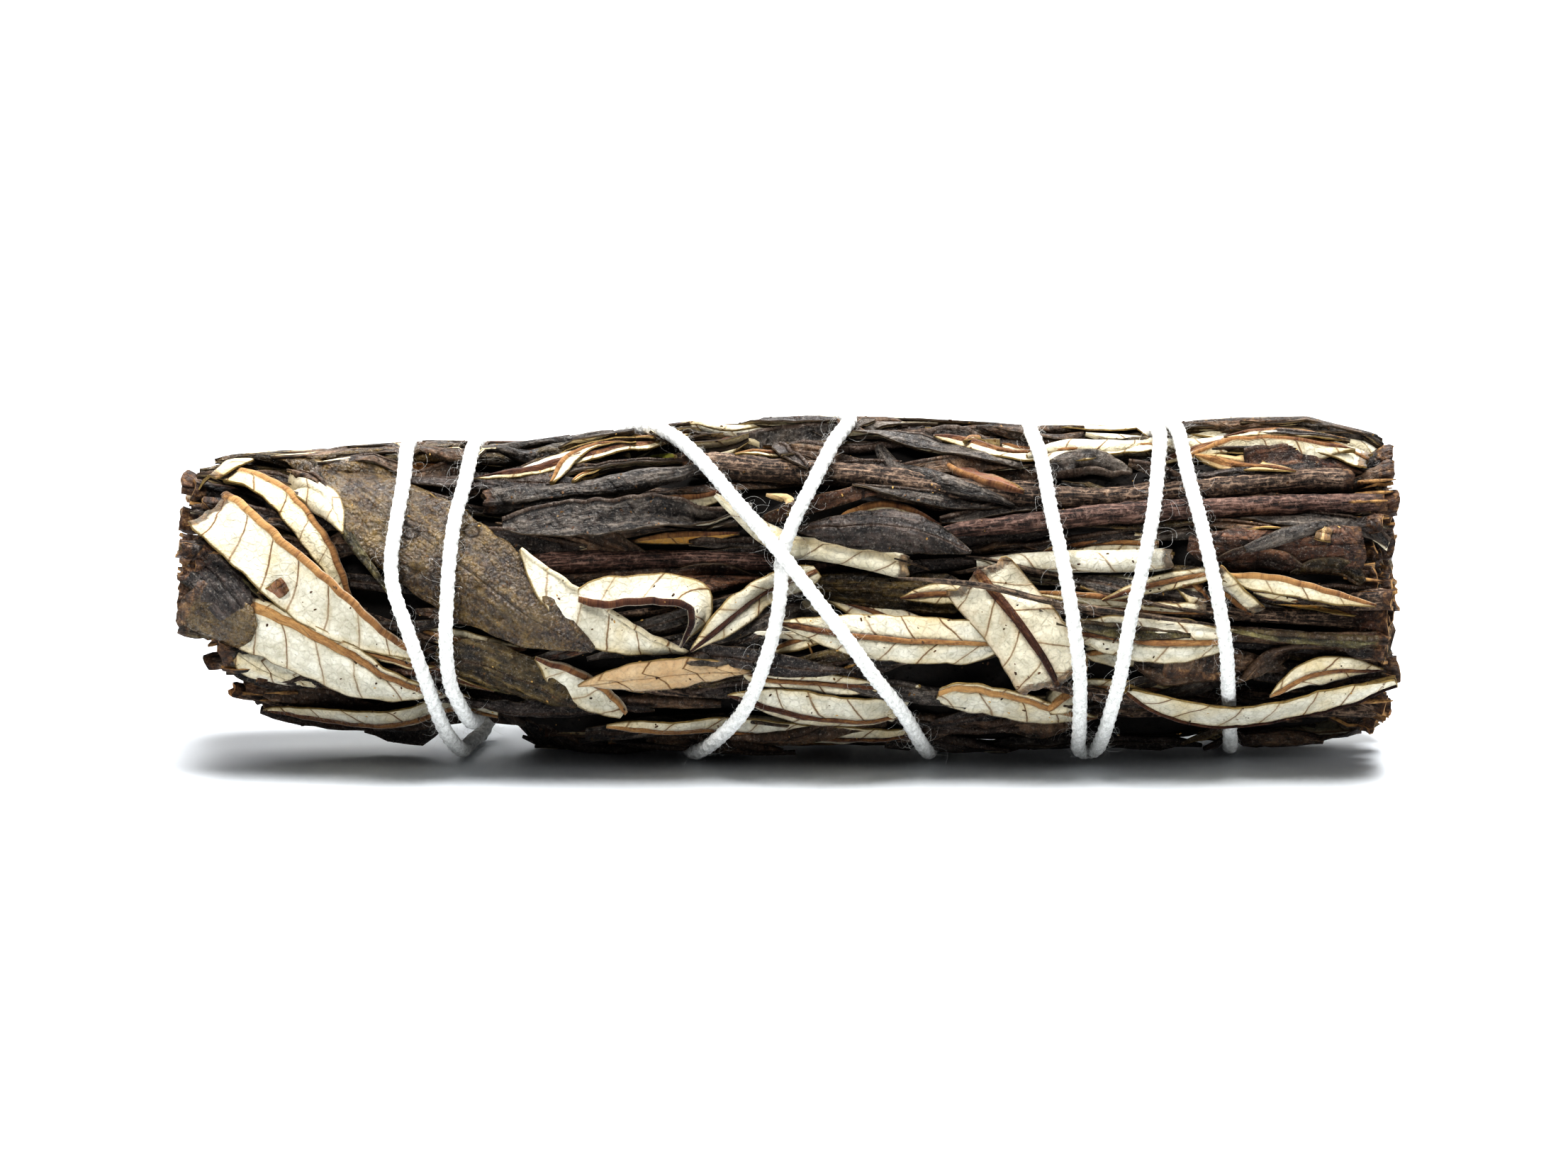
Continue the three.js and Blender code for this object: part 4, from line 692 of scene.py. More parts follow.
def rollSection(strip, half, share, spacing):
    turns = 1.45
    count = max(12, round(turns * math.pi * strip["width"] / spacing))
    t = np.linspace(0, 1, count)
    phi = np.radians(strip.get("seam", 150) - 360 * turns * t)[None, :]
    phi = phi + 0.5 * bumps(share * 12, 0, 4, strip["seed"])[:, None]
    radius = half[:, None] * (1 - 0.36 * t)
    left = radius * np.cos(phi)
    height = 0.85 * (radius * np.sin(phi) - half[:, None])
    margin = np.broadcast_to(t * turns * math.pi * strip["width"], left.shape)
    section = {"left": left, "height": height, "rib": 0 * left, "across": margin - strip["width"],
               "margin": margin}
    if strip["seed"] % 2:
        section = {key: values[:, ::-1] for key, values in section.items()}
        section["left"] = -section["left"]
    return section


def stemSection(strip, half, share, spacing):
    count = max(8, round(math.pi * strip["width"] / spacing * 0.8))
    phi = np.radians(180 - 360 * np.arange(count) / count)[None, :]
    along = (share * strip["length"])[:, None]
    around = bumps(along / 9, 3 * np.cos(phi) + 7, 1.1, strip["seed"])
    around = around + bumps(along / 9, 3 * np.sin(phi) + 3, 1.1, 5)
    knots = np.exp(-(((along + strip["seed"] % 7) % 13 - 6.5) / 0.8) ** 2)
    radius = half[:, None] * (1 + 0.07 * around + 0.1 * knots)
    lumps = bumps(along, 3 * np.cos(phi), 0.7, strip["seed"] + 2) + bumps(along, 3 * np.sin(phi), 0.7, 11)
    radius = radius * (1 + strip.get("lumpy", 0.055) * lumps)
    left = radius * np.cos(phi)
    height = 0.94 * (radius * np.sin(phi) - half[:, None])
    arc = np.broadcast_to(phi * strip["width"] / 2, left.shape)
    return {"left": left, "height": height, "rib": 0 * left, "across": arc, "margin": 9 + 0 * left}


sectionMakers = {"blade": bladeSection, "fold": foldSection, "roll": rollSection, "stem": stemSection}


def gridNormals(points, closed=False):
    along = np.gradient(points, axis=0)
    around = np.gradient(points, axis=1)
    if closed:
        around = np.roll(points, -1, axis=1) - np.roll(points, 1, axis=1)
    normals = np.cross(along, around)
    return normals / np.maximum(np.linalg.norm(normals, axis=-1, keepdims=True), 1e-9)


def gridFaces(rows, columns, closed=False):
    across = columns if closed else columns - 1
    i, j = np.meshgrid(np.arange(rows - 1), np.arange(across), indexing="ij")
    k = (j + 1) % columns
    return np.stack([i * columns + j, (i + 1) * columns + j, (i + 1) * columns + k, i * columns + k],
                    axis=-1).reshape(-1, 4)


def sheetPart(points, thickness, slots, readings):
    # a thin sheet with both faces and a rim from its middle surface
    rows, columns, _ = points.shape
    normals = gridNormals(points) * (np.asarray(thickness) / 2)[..., None]
    corners = np.vstack([(points + normals).reshape(-1, 3), (points - normals).reshape(-1, 3)])
    outer = gridFaces(rows, columns)
    under = rows * columns
    loop = np.concatenate([
        np.arange(rows) * columns, (rows - 1) * columns + np.arange(1, columns),
        np.arange(rows - 2, -1, -1) * columns + columns - 1, np.arange(columns - 2, 0, -1)])
    following = np.roll(loop, -1)
    rim = np.stack([following, loop, loop + under, following + under], axis=-1)
    faces = np.vstack([outer, outer[:, ::-1] + under, rim])
    counts = (len(outer), len(outer), len(rim))
    return {
        "corners": corners, "faces": faces.tolist(), "slots": np.repeat(slots, counts),
        "smooth": np.repeat([True, True, False], counts),
        "readings": {key: np.tile(np.asarray(values).reshape(-1), 2) for key, values in readings.items()}}


def tubePart(points, slots, readings, dish=0.25):
    # a closed tube with a slightly hollow cut face at each end
    rows, columns, _ = points.shape
    corners = [points.reshape(-1, 3)]
    faces = gridFaces(rows, columns, closed=True).tolist()
    sideCount, count = len(faces), rows * columns
    for end, inner in ((0, 1), (rows - 1, rows - 2)):
        middle = points[end].mean(axis=0)
        inwards = points[inner].mean(axis=0) - middle
        inwards /= max(np.linalg.norm(inwards), 1e-9)
        rim = 0.6 * points[end] + 0.4 * middle
        size = np.linalg.norm(points[end] - middle, axis=1).mean()
        corners += [rim, (middle + inwards * dish * size)[None]]
        for j in range(columns):
            k = (j + 1) % columns
            edge, ring = end * columns, count
            quad = [edge + k, edge + j, ring + j, ring + k]
            fan = [ring + k, ring + j, ring + columns]
            faces += [quad[::-1], fan[::-1]] if end == 0 else [quad, fan]
        count += columns + 1
    corners = np.vstack(corners)
    slotList = np.array([slots[0]] * sideCount + [slots[1]] * (len(faces) - sideCount))
    smooth = np.array([True] * sideCount + [False] * (len(faces) - sideCount))
    extra = len(corners) - rows * columns
    return {"corners": corners, "faces": faces, "slots": slotList, "smooth": smooth, "readings": {
        key: np.concatenate([np.asarray(values).reshape(-1), np.zeros(extra)])
        for key, values in readings.items()}}


def makeObject(name, parts, materials):
    corners = np.vstack([part["corners"] for part in parts]) * 0.001
    faces, first = [], 0
    for part in parts:
        faces += [[first + k for k in face] for face in part["faces"]]
        first += len(part["corners"])
    mesh = bpy.data.meshes.new(name)
    mesh.from_pydata(corners.tolist(), [], faces)
    mesh.polygons.foreach_set("material_index",
                              np.concatenate([part["slots"] for part in parts]).astype(np.int32))
    mesh.polygons.foreach_set("use_smooth", np.concatenate([part["smooth"] for part in parts]))
    for key in parts[0]["readings"]:
        layer = mesh.attributes.new(key, "FLOAT", "POINT")
        layer.data.foreach_set("value",
                               np.concatenate([part["readings"][key] for part in parts]).astype(np.float32))
    for material in materials:
        mesh.materials.append(material)
    mesh.update()
    obj = bpy.data.objects.new(name, mesh)
    bpy.context.scene.collection.objects.link(obj)
    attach(obj, "root")
    return obj


def scarHeights(path, left, scars):
    # small ring-shaped scars at (x, angle, size) places on a leaf
    height = np.zeros(left.shape)
    if scars:
        x, angle = beside(path, left)
    for scarX, scarAngle, size in scars:
        away = np.hypot(x - scarX, (angle - scarAngle) * arcPerDegree(scarX)) / size
        height += size * (0.42 * np.exp(-((away - 0.85) / 0.3) ** 2) - 0.35 * np.exp(-(away / 0.5) ** 2))
    return height


def makeStrip(strip, rank, ownRank, slots):
    # one leaf, roll, stem or twig, as a part of a mesh
    spacing, rowStep = strip.get("mesh", (0.36, 0.42))
    path = followRoute(strip["route"], rowStep)
    share = path["s"] / path["length"]
    seed = strip["seed"]
    strip = dict(strip, length=path["length"])
    half = strip["width"] / 2 * widthShare(strip["ends"], share)
    level, cover = measureLevels(path, np.maximum(half, 0.3), rank, ownRank, strip.get("lift", 0.3))
    isSheet = strip["form"] in ("blade", "fold")
    if isSheet:
        scallop = 0.12 * np.abs(np.sin(np.pi * path["s"] / 2.3 + seed)) * np.minimum(1, half)
        half = np.maximum(0.08, half + scallop
                          + 0.1 * bumps(path["s"], seed, 1.1, seed) * np.minimum(1, half))
    section = sectionMakers[strip["form"]](strip, half, share, spacing)
    left = section["left"]
    if isSheet:
        across = np.clip(left / np.maximum(half, 0.3)[:, None], -1, 1)
        base, over = acrossRows(level, across), acrossRows(cover, across)
    else:
        base = np.broadcast_to(level[:, 2:5].max(axis=1)[:, None], left.shape)
        over = acrossRows(cover, np.clip(left / np.maximum(half, 0.3)[:, None], -1, 1))
    along = np.broadcast_to(path["s"][:, None], left.shape)
    rough = 1.0 if strip["feltOut"] else 1.6  # the dark sides have dried more wrinkled
    crinkle = rough * (0.12 * bumps(along, left + 20, 2.9, seed)
                       + 0.07 * bumps(along, left + 20, 1.1, seed + 3))
    crinkle = crinkle + 0.035 * rough * bumps(along, left + 20, 0.6, seed + 6)
    if strip["form"] == "stem":
        crinkle = 0.08 * bumps(along, 0, 4, seed)
    elif strip["form"] == "roll":
        crinkle = crinkle * 1.4
    crinkle = crinkle + scarHeights(path, left, strip.get("scars", []))
    thickness = bundle["sheetThickness"] if strip["form"] != "stem" else 0.0
    r = base + section["height"] + crinkle - thickness / 2
    r = np.minimum(r, over - bundle["clearance"] - thickness / 2)
    if strip.get("limit"):
        r = np.minimum(r, freeRadius(*beside(path, left)) - strip.get("gap", 0.3))
    across = section["across"]
    torn = 0.22 * bumps(across, 0, 0.6, seed + 5) + 0.3 * bumps(across, 0, 2.0, seed + 9)
    ahead, cut = np.zeros(left.shape), np.full(left.shape, 9.0)
    for end, distance, sign in ((0, path["s"], 1), (1, path["length"] - path["s"], -1)):
        if strip["ends"][end] == "cut":
            ahead += sign * (0.5 + torn) * np.exp(-(distance[:, None] / 1.6) ** 2)
            cut = np.minimum(cut, distance[:, None] + 0 * left)
    points = toSpace(*beside(path, left, ahead), r)
    tipward = share if strip["ends"][0] != "point" or strip["ends"][1] == "point" else 1 - share
    ribTone = strip["ribFinish"][1] * 0.7 + 0.45 * tipward
    veinSide = np.where(section["across"] > 0, 0.5, 0.0)
    reach = np.abs(section["across"])
    direction = 1 if tipward is share else -1
    vein = (direction * along - 0.85 * reach + 0.05 * reach**2) / 3.3 + veinSide
    vein = vein + 0.12 * bumps(along, left, 3, seed)
    readings = {
        "along": along, "across": section["across"], "margin": section["margin"], "rib": section["rib"],
        "vein": vein, "ribTone": np.broadcast_to(ribTone[:, None], left.shape),
        "tone": np.full(left.shape, ((seed * 37) % 101) / 50 - 1), "cut": cut}
    if strip["form"] == "stem":
        return tubePart(points, slots, readings)
    thin = np.clip(np.minimum(section["margin"], 0.5) / 0.5, 0, 1)
    return sheetPart(points, thickness * (0.45 + 0.55 * thin), slots, readings)


# Materials

def linear(hexColour):
    parts = [int(hexColour[k:k + 2], 16) / 255 for k in (1, 3, 5)]
    return (*[p / 12.92 if p <= 0.04045 else ((p + 0.055) / 1.055) ** 2.4 for p in parts], 1.0)


def addNode(tree, kind, inputs=None, give=0, stops=None, **settings):
    # a node with its settings; an input is a value or what another node gives
    node = tree.nodes.new(kind)
    for key, value in settings.items():
        setattr(node, key, value)
    for key, value in (inputs or {}).items():
        if isinstance(value, bpy.types.NodeSocket):
            tree.links.new(value, node.inputs[key])
        else:
            node.inputs[key].default_value = value
    if stops:  # a colour ramp's (position, colour) pairs
        elements = node.color_ramp.elements
        while len(elements) < len(stops):
            elements.new(0.5)
        for element, (position, colour) in zip(elements, stops):
            element.position = position
            element.color = linear(colour) if isinstance(colour, str) else (colour, colour, colour, 1)
    return node.outputs[give]


def newMaterial(name):
    material = bpy.data.materials.new(name)
    material.use_nodes = True
    tree = material.node_tree
    shader = next(node for node in tree.nodes if node.type == "BSDF_PRINCIPLED")
    return material, tree, shader


def finishMaterial(material, tree, shader, colour, roughness, bumpLayers, **values):
    # wires the colour, roughness and bump, and sets what is the same all over on the shader
    normal = None
    for height, depth in bumpLayers:  # depth in millimetres
        inputs = {"Height": height, "Distance": depth * 0.001, "Strength": 1.0}
        if normal is not None:
            inputs["Normal"] = normal
        normal = addNode(tree, "ShaderNodeBump", inputs)
    for key, socket in (("Base Color", colour), ("Roughness", roughness), ("Normal", normal)):
        if isinstance(socket, bpy.types.NodeSocket):
            tree.links.new(socket, shader.inputs[key])
        elif socket is not None:
            shader.inputs[key].default_value = socket
    for key, value in values.items():
        shader.inputs[key.replace("_", " ")].default_value = value
    return material


def reading(tree, name):
    return addNode(tree, "ShaderNodeAttribute", give=2, attribute_name=name)


def paint(tree, ground, layers):
    # colours laid over the ground in turn, each through its mask
    for colour, mask in layers:
        over = linear(colour) if isinstance(colour, str) else colour
        ground = addNode(tree, "ShaderNodeMix", {0: mask, 6: ground, 7: over}, give=2, data_type="RGBA")
    return ground


def scaled(tree, value, factor):
    return addNode(tree, "ShaderNodeMath", {0: value, 1: factor}, operation="MULTIPLY")


feltColours = {  # ground, shade, stain, how much of it is stained
    "felt": ("#d8d4c5", "#a8a28e", "#c9b27c", 0.45),
    "cream": ("#e3dcc6", "#bdb394", "#cfb274", 0.6),
    "beige": ("#c9b697", "#a48d70", "#a47f55", 0.5),
    "flake": ("#7d5848", "#523629", "#9a7258", 0.5),
    "green": ("#8d9442", "#6f7433", "#a5a050", 0.6),
    "spotted": ("#d9d2bd", "#a8a28e", "#9a7446", 0.95),
    "straw": ("#c1924f", "#8e6834", "#d3aa66", 0.6),
    "tan": ("#b39a74", "#8a7050", "#c7ae84", 0.6),
}


def nearCut(tree, colour, share):
    # broken ends are torn and show the brown dry tissue inside
    position = addNode(tree, "ShaderNodeTexCoord", give=3)
    mottle = addNode(tree, "ShaderNodeTexNoise",
                     {"Vector": position, "Scale": 1500.0, "Detail": 4.0, "Roughness": 0.7})
    tissue = addNode(tree, "ShaderNodeValToRGB", {0: mottle},
                     stops=[(0.38, "#20140e"), (0.52, "#4e3625"), (0.62, "#785a3c"), (0.74, "#b0946a")])
    reach = addNode(tree, "ShaderNodeMath", {0: mottle, 1: -1.5, 2: reading(tree, "cut")},
                    operation="MULTIPLY_ADD")
    mask = addNode(tree, "ShaderNodeValToRGB", {0: reach}, stops=[(0.0, 1.0), (0.35, 0.0)])
    return paint(tree, colour, [(tissue, scaled(tree, mask, share))])


def feltedUnderside(skin):
    # the leathery leaf's underside, felted with white hairs: matt and chalky, with a net of veins
    # showing through it, arched side veins, a tan to brown midrib and an olive margin
    ground, shade, stain, stained = feltColours[skin]
    material, tree, shader = newMaterial(f"felted_underside_{skin}")
    along, across, tone = reading(tree, "along"), reading(tree, "across"), reading(tree, "tone")
    place = addNode(tree, "ShaderNodeCombineXYZ", {0: along, 1: across, 2: scaled(tree, tone, 40.0)})
    position = addNode(tree, "ShaderNodeTexCoord", give=3)
    speckle = addNode(tree, "ShaderNodeTexNoise",
                      {"Vector": position, "Scale": 4200.0, "Detail": 3.0, "Roughness": 0.75})
    cloud = addNode(tree, "ShaderNodeTexNoise",
                    {"Vector": position, "Scale": 420.0, "Detail": 4.0, "Roughness": 0.65})
    patch = addNode(tree, "ShaderNodeTexNoise",
                    {"Vector": position, "Scale": 150.0, "Detail": 3.0, "Roughness": 0.6})
    wobble = addNode(tree, "ShaderNodeTexNoise", {"Vector": place, "Scale": 1.1, "Detail": 1.0}, give=1)
    bent = addNode(tree, "ShaderNodeMix", {0: 0.22, 4: place, 5: wobble}, give=1, data_type="VECTOR")
    net = addNode(tree, "ShaderNodeTexVoronoi", {"Vector": bent, "Scale": 1.7}, give=0,
                  feature="DISTANCE_TO_EDGE", voronoi_dimensions="3D")
    netMask = addNode(tree, "ShaderNodeValToRGB", {0: net}, stops=[(0.02, 1.0), (0.13, 0.0)])
    jagged = addNode(tree, "ShaderNodeMath", {0: cloud, 1: 0.14, 2: reading(tree, "vein")},
                     operation="MULTIPLY_ADD")
    phase = addNode(tree, "ShaderNodeMath", {0: jagged, 1: 0.5}, operation="PINGPONG")
    arcLine = addNode(tree, "ShaderNodeValToRGB", {0: phase}, stops=[(0.011, 1.0), (0.036, 0.0)])
    uneven = addNode(tree, "ShaderNodeMapRange", {0: patch, 1: 0.38, 2: 0.6, 3: 0.5, 4: 1.0})
    arcMask = addNode(tree, "ShaderNodeMath", {0: arcLine, 1: uneven}, operation="MULTIPLY")
    arcHalo = addNode(tree, "ShaderNodeValToRGB", {0: phase}, stops=[(0.01, 1.0), (0.14, 0.0)])
    margin = addNode(tree, "ShaderNodeValToRGB", {0: reading(tree, "margin")},
                     stops=[(0.05, 1.0), (0.16, 0.0)])
    nearMargin = addNode(tree, "ShaderNodeValToRGB", {0: reading(tree, "margin")},
                         stops=[(0.1, 1.0), (0.8, 0.0)])
    nearRib = addNode(tree, "ShaderNodeValToRGB",
                      {0: addNode(tree, "ShaderNodeMath", {0: across}, operation="ABSOLUTE")},
                      stops=[(0.2, 0.6), (0.8, 0.0)])
    cloudMask = addNode(tree, "ShaderNodeValToRGB", {0: cloud}, stops=[(0.42, 0.0), (0.64, 1.0)])
    stainMask = addNode(tree, "ShaderNodeValToRGB", {0: patch}, stops=[(0.54, 0.0), (0.7, 1.0)])
    speckMask = addNode(tree, "ShaderNodeValToRGB", {0: speckle}, stops=[(0.53, 0.0), (0.68, 1.0)])
    lengthwise = addNode(tree, "ShaderNodeCombineXYZ",
                         {0: scaled(tree, along, 0.5), 1: scaled(tree, across, 3.5)})
    streak = addNode(tree, "ShaderNodeTexNoise",
                     {"Vector": lengthwise, "Scale": 1.8, "Detail": 4.0, "Roughness": 0.8})
    ribStreak = addNode(tree, "ShaderNodeMath", {0: streak, 1: 1.3, 2: reading(tree, "ribTone")},
                        operation="MULTIPLY_ADD")
    ribColour = addNode(tree, "ShaderNodeValToRGB", {0: scaled(tree, ribStreak, 0.6)},
                        stops=[(0.42, "#a8865a"), (0.62, "#866442"), (0.8, "#523628"), (1.0, "#271715")])
    colour = paint(tree, linear(ground), [
        (shade, scaled(tree, cloudMask, 0.7)), (stain, scaled(tree, stainMask, stained)),
        (stain, scaled(tree, nearRib, 0.5)), (stain, scaled(tree, nearMargin, 0.35)),
        ("#8f856e", scaled(tree, netMask, 0.2)), ("#5d5443", scaled(tree, speckMask, 0.3)),
        ("#b09a70", scaled(tree, arcHalo, 0.3)), ("#6f4f30", scaled(tree, arcMask, 0.9)),
        ("#6a5731", scaled(tree, margin, 0.85)), (ribColour, reading(tree, "rib"))])
    colour = nearCut(tree, colour, 0.8)
    return finishMaterial(material, tree, shader, colour, 0.92,
                          [(netMask, 0.03), (arcMask, 0.06), (speckle, 0.09), (cloud, 0.2)],
                          Sheen_Weight=0.25, Sheen_Roughness=0.45, Specular_IOR_Level=0.2)


resinColours = {  # deep, middle, light, rusty patch, smoothest and roughest, pebbles per mm and depth, veins
    "bigOlive": ("#2c1d10", "#6a5230", "#a58d58", "#4c3022", 0.06, 0.4, 4.2, 0.12, 0.12),
    "olive": ("#1e160c", "#574728", "#8b774a", "#5a3a20", 0.22, 0.55, 2.0, 0.18, 0.4),
    "charcoal": ("#1a1614", "#4c443e", "#8f857a", "#4c362b", 0.3, 0.65, 2.4, 0.2, 0.35),
    "black": ("#110d0c", "#362c28", "#6f635b", "#4a2c20", 0.2, 0.5, 2.0, 0.2, 0.3),
    "brownish": ("#20160f", "#5a4434", "#957a60", "#6a4430", 0.35, 0.65, 2.2, 0.2, 0.4),
    "rust": ("#1c0e09", "#5a3a2b", "#8f6a50", "#774730", 0.5, 0.8, 1.4, 0.3, 0.4),
    "greenish": ("#262010", "#61562f", "#989064", "#5c4a26", 0.35, 0.65, 2.0, 0.16, 0.4),
}


def resinousUpper(skin):
    # the leaf's upper side, sticky with dried resin: dark, pebbled by the sunken net of veins, and
    # glossy on the tops of the pebbles
    deep, middle, light, rusty, smoothest, roughest, fineness, depth, veins = resinColours[skin]
    material, tree, shader = newMaterial(f"resinous_upper_side_{skin}")
    along, across, tone = reading(tree, "along"), reading(tree, "across"), reading(tree, "tone")
    place = addNode(tree, "ShaderNodeCombineXYZ", {0: along, 1: across, 2: scaled(tree, tone, 40.0)})
    position = addNode(tree, "ShaderNodeTexCoord", give=3)
    patch = addNode(tree, "ShaderNodeTexNoise",
                    {"Vector": position, "Scale": 210.0, "Detail": 4.0, "Roughness": 0.6})
    fine = addNode(tree, "ShaderNodeTexNoise",
                   {"Vector": position, "Scale": 2600.0, "Detail": 4.0, "Roughness": 0.75})
    wobble = addNode(tree, "ShaderNodeTexNoise", {"Vector": place, "Scale": 1.6, "Detail": 2.0}, give=1)
    bent = addNode(tree, "ShaderNodeMix", {0: 0.3, 4: place, 5: wobble}, give=1, data_type="VECTOR")
    pebble = addNode(tree, "ShaderNodeTexVoronoi", {"Vector": bent, "Scale": fineness}, give=0)
    tops = addNode(tree, "ShaderNodeValToRGB", {0: pebble}, stops=[(0.1, 1.0), (0.75, 0.0)])
    phase = addNode(tree, "ShaderNodeMath", {0: reading(tree, "vein"), 1: 0.5}, operation="PINGPONG")
    arcMask = addNode(tree, "ShaderNodeValToRGB", {0: phase}, stops=[(0.01, 1.0), (0.05, 0.0)])
    patchMask = addNode(tree, "ShaderNodeValToRGB", {0: patch}, stops=[(0.4, 0.0), (0.66, 1.0)])
    rustMask = addNode(tree, "ShaderNodeValToRGB", {0: fine}, stops=[(0.53, 0.0), (0.7, 1.0)])
    margin = addNode(tree, "ShaderNodeValToRGB", {0: reading(tree, "margin")},
                     stops=[(0.03, 1.0), (0.14, 0.0)])
    grain = addNode(tree, "ShaderNodeTexNoise",
                    {"Vector": position, "Scale": 4200.0, "Detail": 2.0, "Roughness": 0.8})
    dust = addNode(tree, "ShaderNodeValToRGB", {0: grain}, stops=[(0.56, 0.0), (0.66, 1.0)])
    crust = addNode(tree, "ShaderNodeTexNoise",
                    {"Vector": position, "Scale": 950.0, "Detail": 6.0, "Roughness": 0.78})
    # Painted shade in the hollows of the crust, and painted highlight on its peaks.
    pitShade = addNode(tree, "ShaderNodeValToRGB", {0: crust}, stops=[(0.41, 1.0), (0.52, 0.0)])
    peakHighlight = addNode(tree, "ShaderNodeValToRGB", {0: crust}, stops=[(0.54, 0.0), (0.66, 1.0)])
    lengthwise = addNode(tree, "ShaderNodeCombineXYZ",
                         {0: scaled(tree, along, 0.2), 1: across, 2: scaled(tree, tone, 40.0)})
    furrow = addNode(tree, "ShaderNodeTexNoise",
                     {"Vector": lengthwise, "Scale": 1.5, "Detail": 4.0, "Roughness": 0.6})
    # Painted shade and highlight: the hollows of the furrows are painted near-black, their crests the light
    # colour.
    hollows = addNode(tree, "ShaderNodeValToRGB", {0: furrow}, stops=[(0.36, 1.0), (0.5, 0.0)])
    crestHighlight = addNode(tree, "ShaderNodeValToRGB", {0: furrow}, stops=[(0.53, 0.0), (0.66, 1.0)])
    wrinkled = 0.3 if skin == "bigOlive" else 0.75
    # Besides the leaf's own colours, this paints shade into the hollows and pits, and highlights onto the
    # crests and peaks.
    colour = paint(tree, linear(deep), [
        (middle, scaled(tree, tops, 0.7)), (light, scaled(tree, patchMask, 0.3)),
        (rusty, scaled(tree, rustMask, 0.5)), (deep, scaled(tree, arcMask, veins)),
        ("#070505", scaled(tree, hollows, wrinkled)), (light, scaled(tree, crestHighlight, 0.7 * wrinkled)),
        ("#7a6848", scaled(tree, margin, 0.2)), ("#4a3626", scaled(tree, reading(tree, "rib"), 0.6)),
        ("#060505", scaled(tree, pitShade, 0.45)), (light, scaled(tree, peakHighlight, 0.25)),
        ("#a39b90", scaled(tree, dust, 0.3))])
    if skin == "bigOlive":  # a few round scars with raised dark rims
        spots = addNode(tree, "ShaderNodeTexVoronoi", {"Vector": place, "Scale": 0.14}, give=0,
                        voronoi_dimensions="2D")
        rims = addNode(tree, "ShaderNodeValToRGB", {0: spots}, stops=[(0.04, 0.3), (0.09, 1.0), (0.125, 0.0)])
        colour = paint(tree, colour, [("#2a1c10", scaled(tree, rims, 0.75))])
        tops = addNode(tree, "ShaderNodeMath", {0: rims, 1: 3.0, 2: tops}, operation="MULTIPLY_ADD")
    if skin == "rust":
        torn = addNode(tree, "ShaderNodeTexVoronoi", {"Vector": bent, "Scale": 0.4},
                       feature="DISTANCE_TO_EDGE")
        crackMask = addNode(tree, "ShaderNodeValToRGB", {0: torn}, stops=[(0.01, 1.0), (0.045, 0.0)])
        cracks = addNode(tree, "ShaderNodeMath", {0: crackMask, 1: patchMask}, operation="MULTIPLY")
        colour = paint(tree, colour, [(deep, scaled(tree, cracks, 0.9))])
        tops = addNode(tree, "ShaderNodeMath", {0: tops, 1: cracks}, operation="SUBTRACT")
    colour = nearCut(tree, colour, 0.85)
    gloss = addNode(tree, "ShaderNodeMapRange", {0: fine, 1: 0.4, 2: 0.6, 3: smoothest, 4: roughest})
    return finishMaterial(material, tree, shader, colour, gloss,
                          [(tops, depth), (arcMask, -0.15 * veins), (fine, 0.1), (crust, 0.22),
                           (furrow, 0.6 * wrinkled), (patch, 0.3)],
                          Specular_IOR_Level=0.6 if skin == "bigOlive" else 0.4)


def driedBark(name, deep, middle, light):
    # dry bark and stalk skin: fine lengthwise fissures and crusty grains over a reddish brown, dull
    material, tree, shader = newMaterial(name)
    along = scaled(tree, reading(tree, "along"), 0.13)
    place = addNode(tree, "ShaderNodeCombineXYZ",
                    {0: along, 1: reading(tree, "across"), 2: reading(tree, "tone")})
    position = addNode(tree, "ShaderNodeTexCoord", give=3)
    streak = addNode(tree, "ShaderNodeTexNoise",
                     {"Vector": place, "Scale": 4.2, "Detail": 5.0, "Roughness": 0.62})
    grit = addNode(tree, "ShaderNodeTexNoise",
                   {"Vector": position, "Scale": 2600.0, "Detail": 3.0, "Roughness": 0.7})
    patch = addNode(tree, "ShaderNodeTexNoise",
                    {"Vector": position, "Scale": 230.0, "Detail": 3.0, "Roughness": 0.6})
    fissure = addNode(tree, "ShaderNodeValToRGB", {0: streak}, stops=[(0.38, 0.0), (0.56, 1.0)])
    streaks = addNode(tree, "ShaderNodeValToRGB", {0: streak}, stops=[(0.5, 0.0), (0.68, 1.0)])
    patches = addNode(tree, "ShaderNodeValToRGB", {0: patch}, stops=[(0.48, 0.0), (0.64, 1.0)])
    specks = addNode(tree, "ShaderNodeValToRGB", {0: grit}, stops=[(0.5, 0.0), (0.66, 1.0)])
    crust = addNode(tree, "ShaderNodeTexNoise",
                    {"Vector": position, "Scale": 1000.0, "Detail": 6.0, "Roughness": 0.78})
    # Painted shade: the hollows of the crust are painted near-black.
    pitShade = addNode(tree, "ShaderNodeValToRGB", {0: crust}, stops=[(0.4, 1.0), (0.51, 0.0)])
    colour = paint(tree, linear(deep), [
        (middle, fissure), (light, scaled(tree, streaks, 0.7)), (deep, scaled(tree, patches, 0.4)),
        (light, scaled(tree, specks, 0.45)), ("#0a0605", scaled(tree, pitShade, 0.6))])
    colour = nearCut(tree, colour, 0.9)
    return finishMaterial(material, tree, shader, colour, 0.68,
                          [(streak, 0.25), (crust, 0.28), (grit, 0.14), (patch, 0.25)],
                          Specular_IOR_Level=0.4)


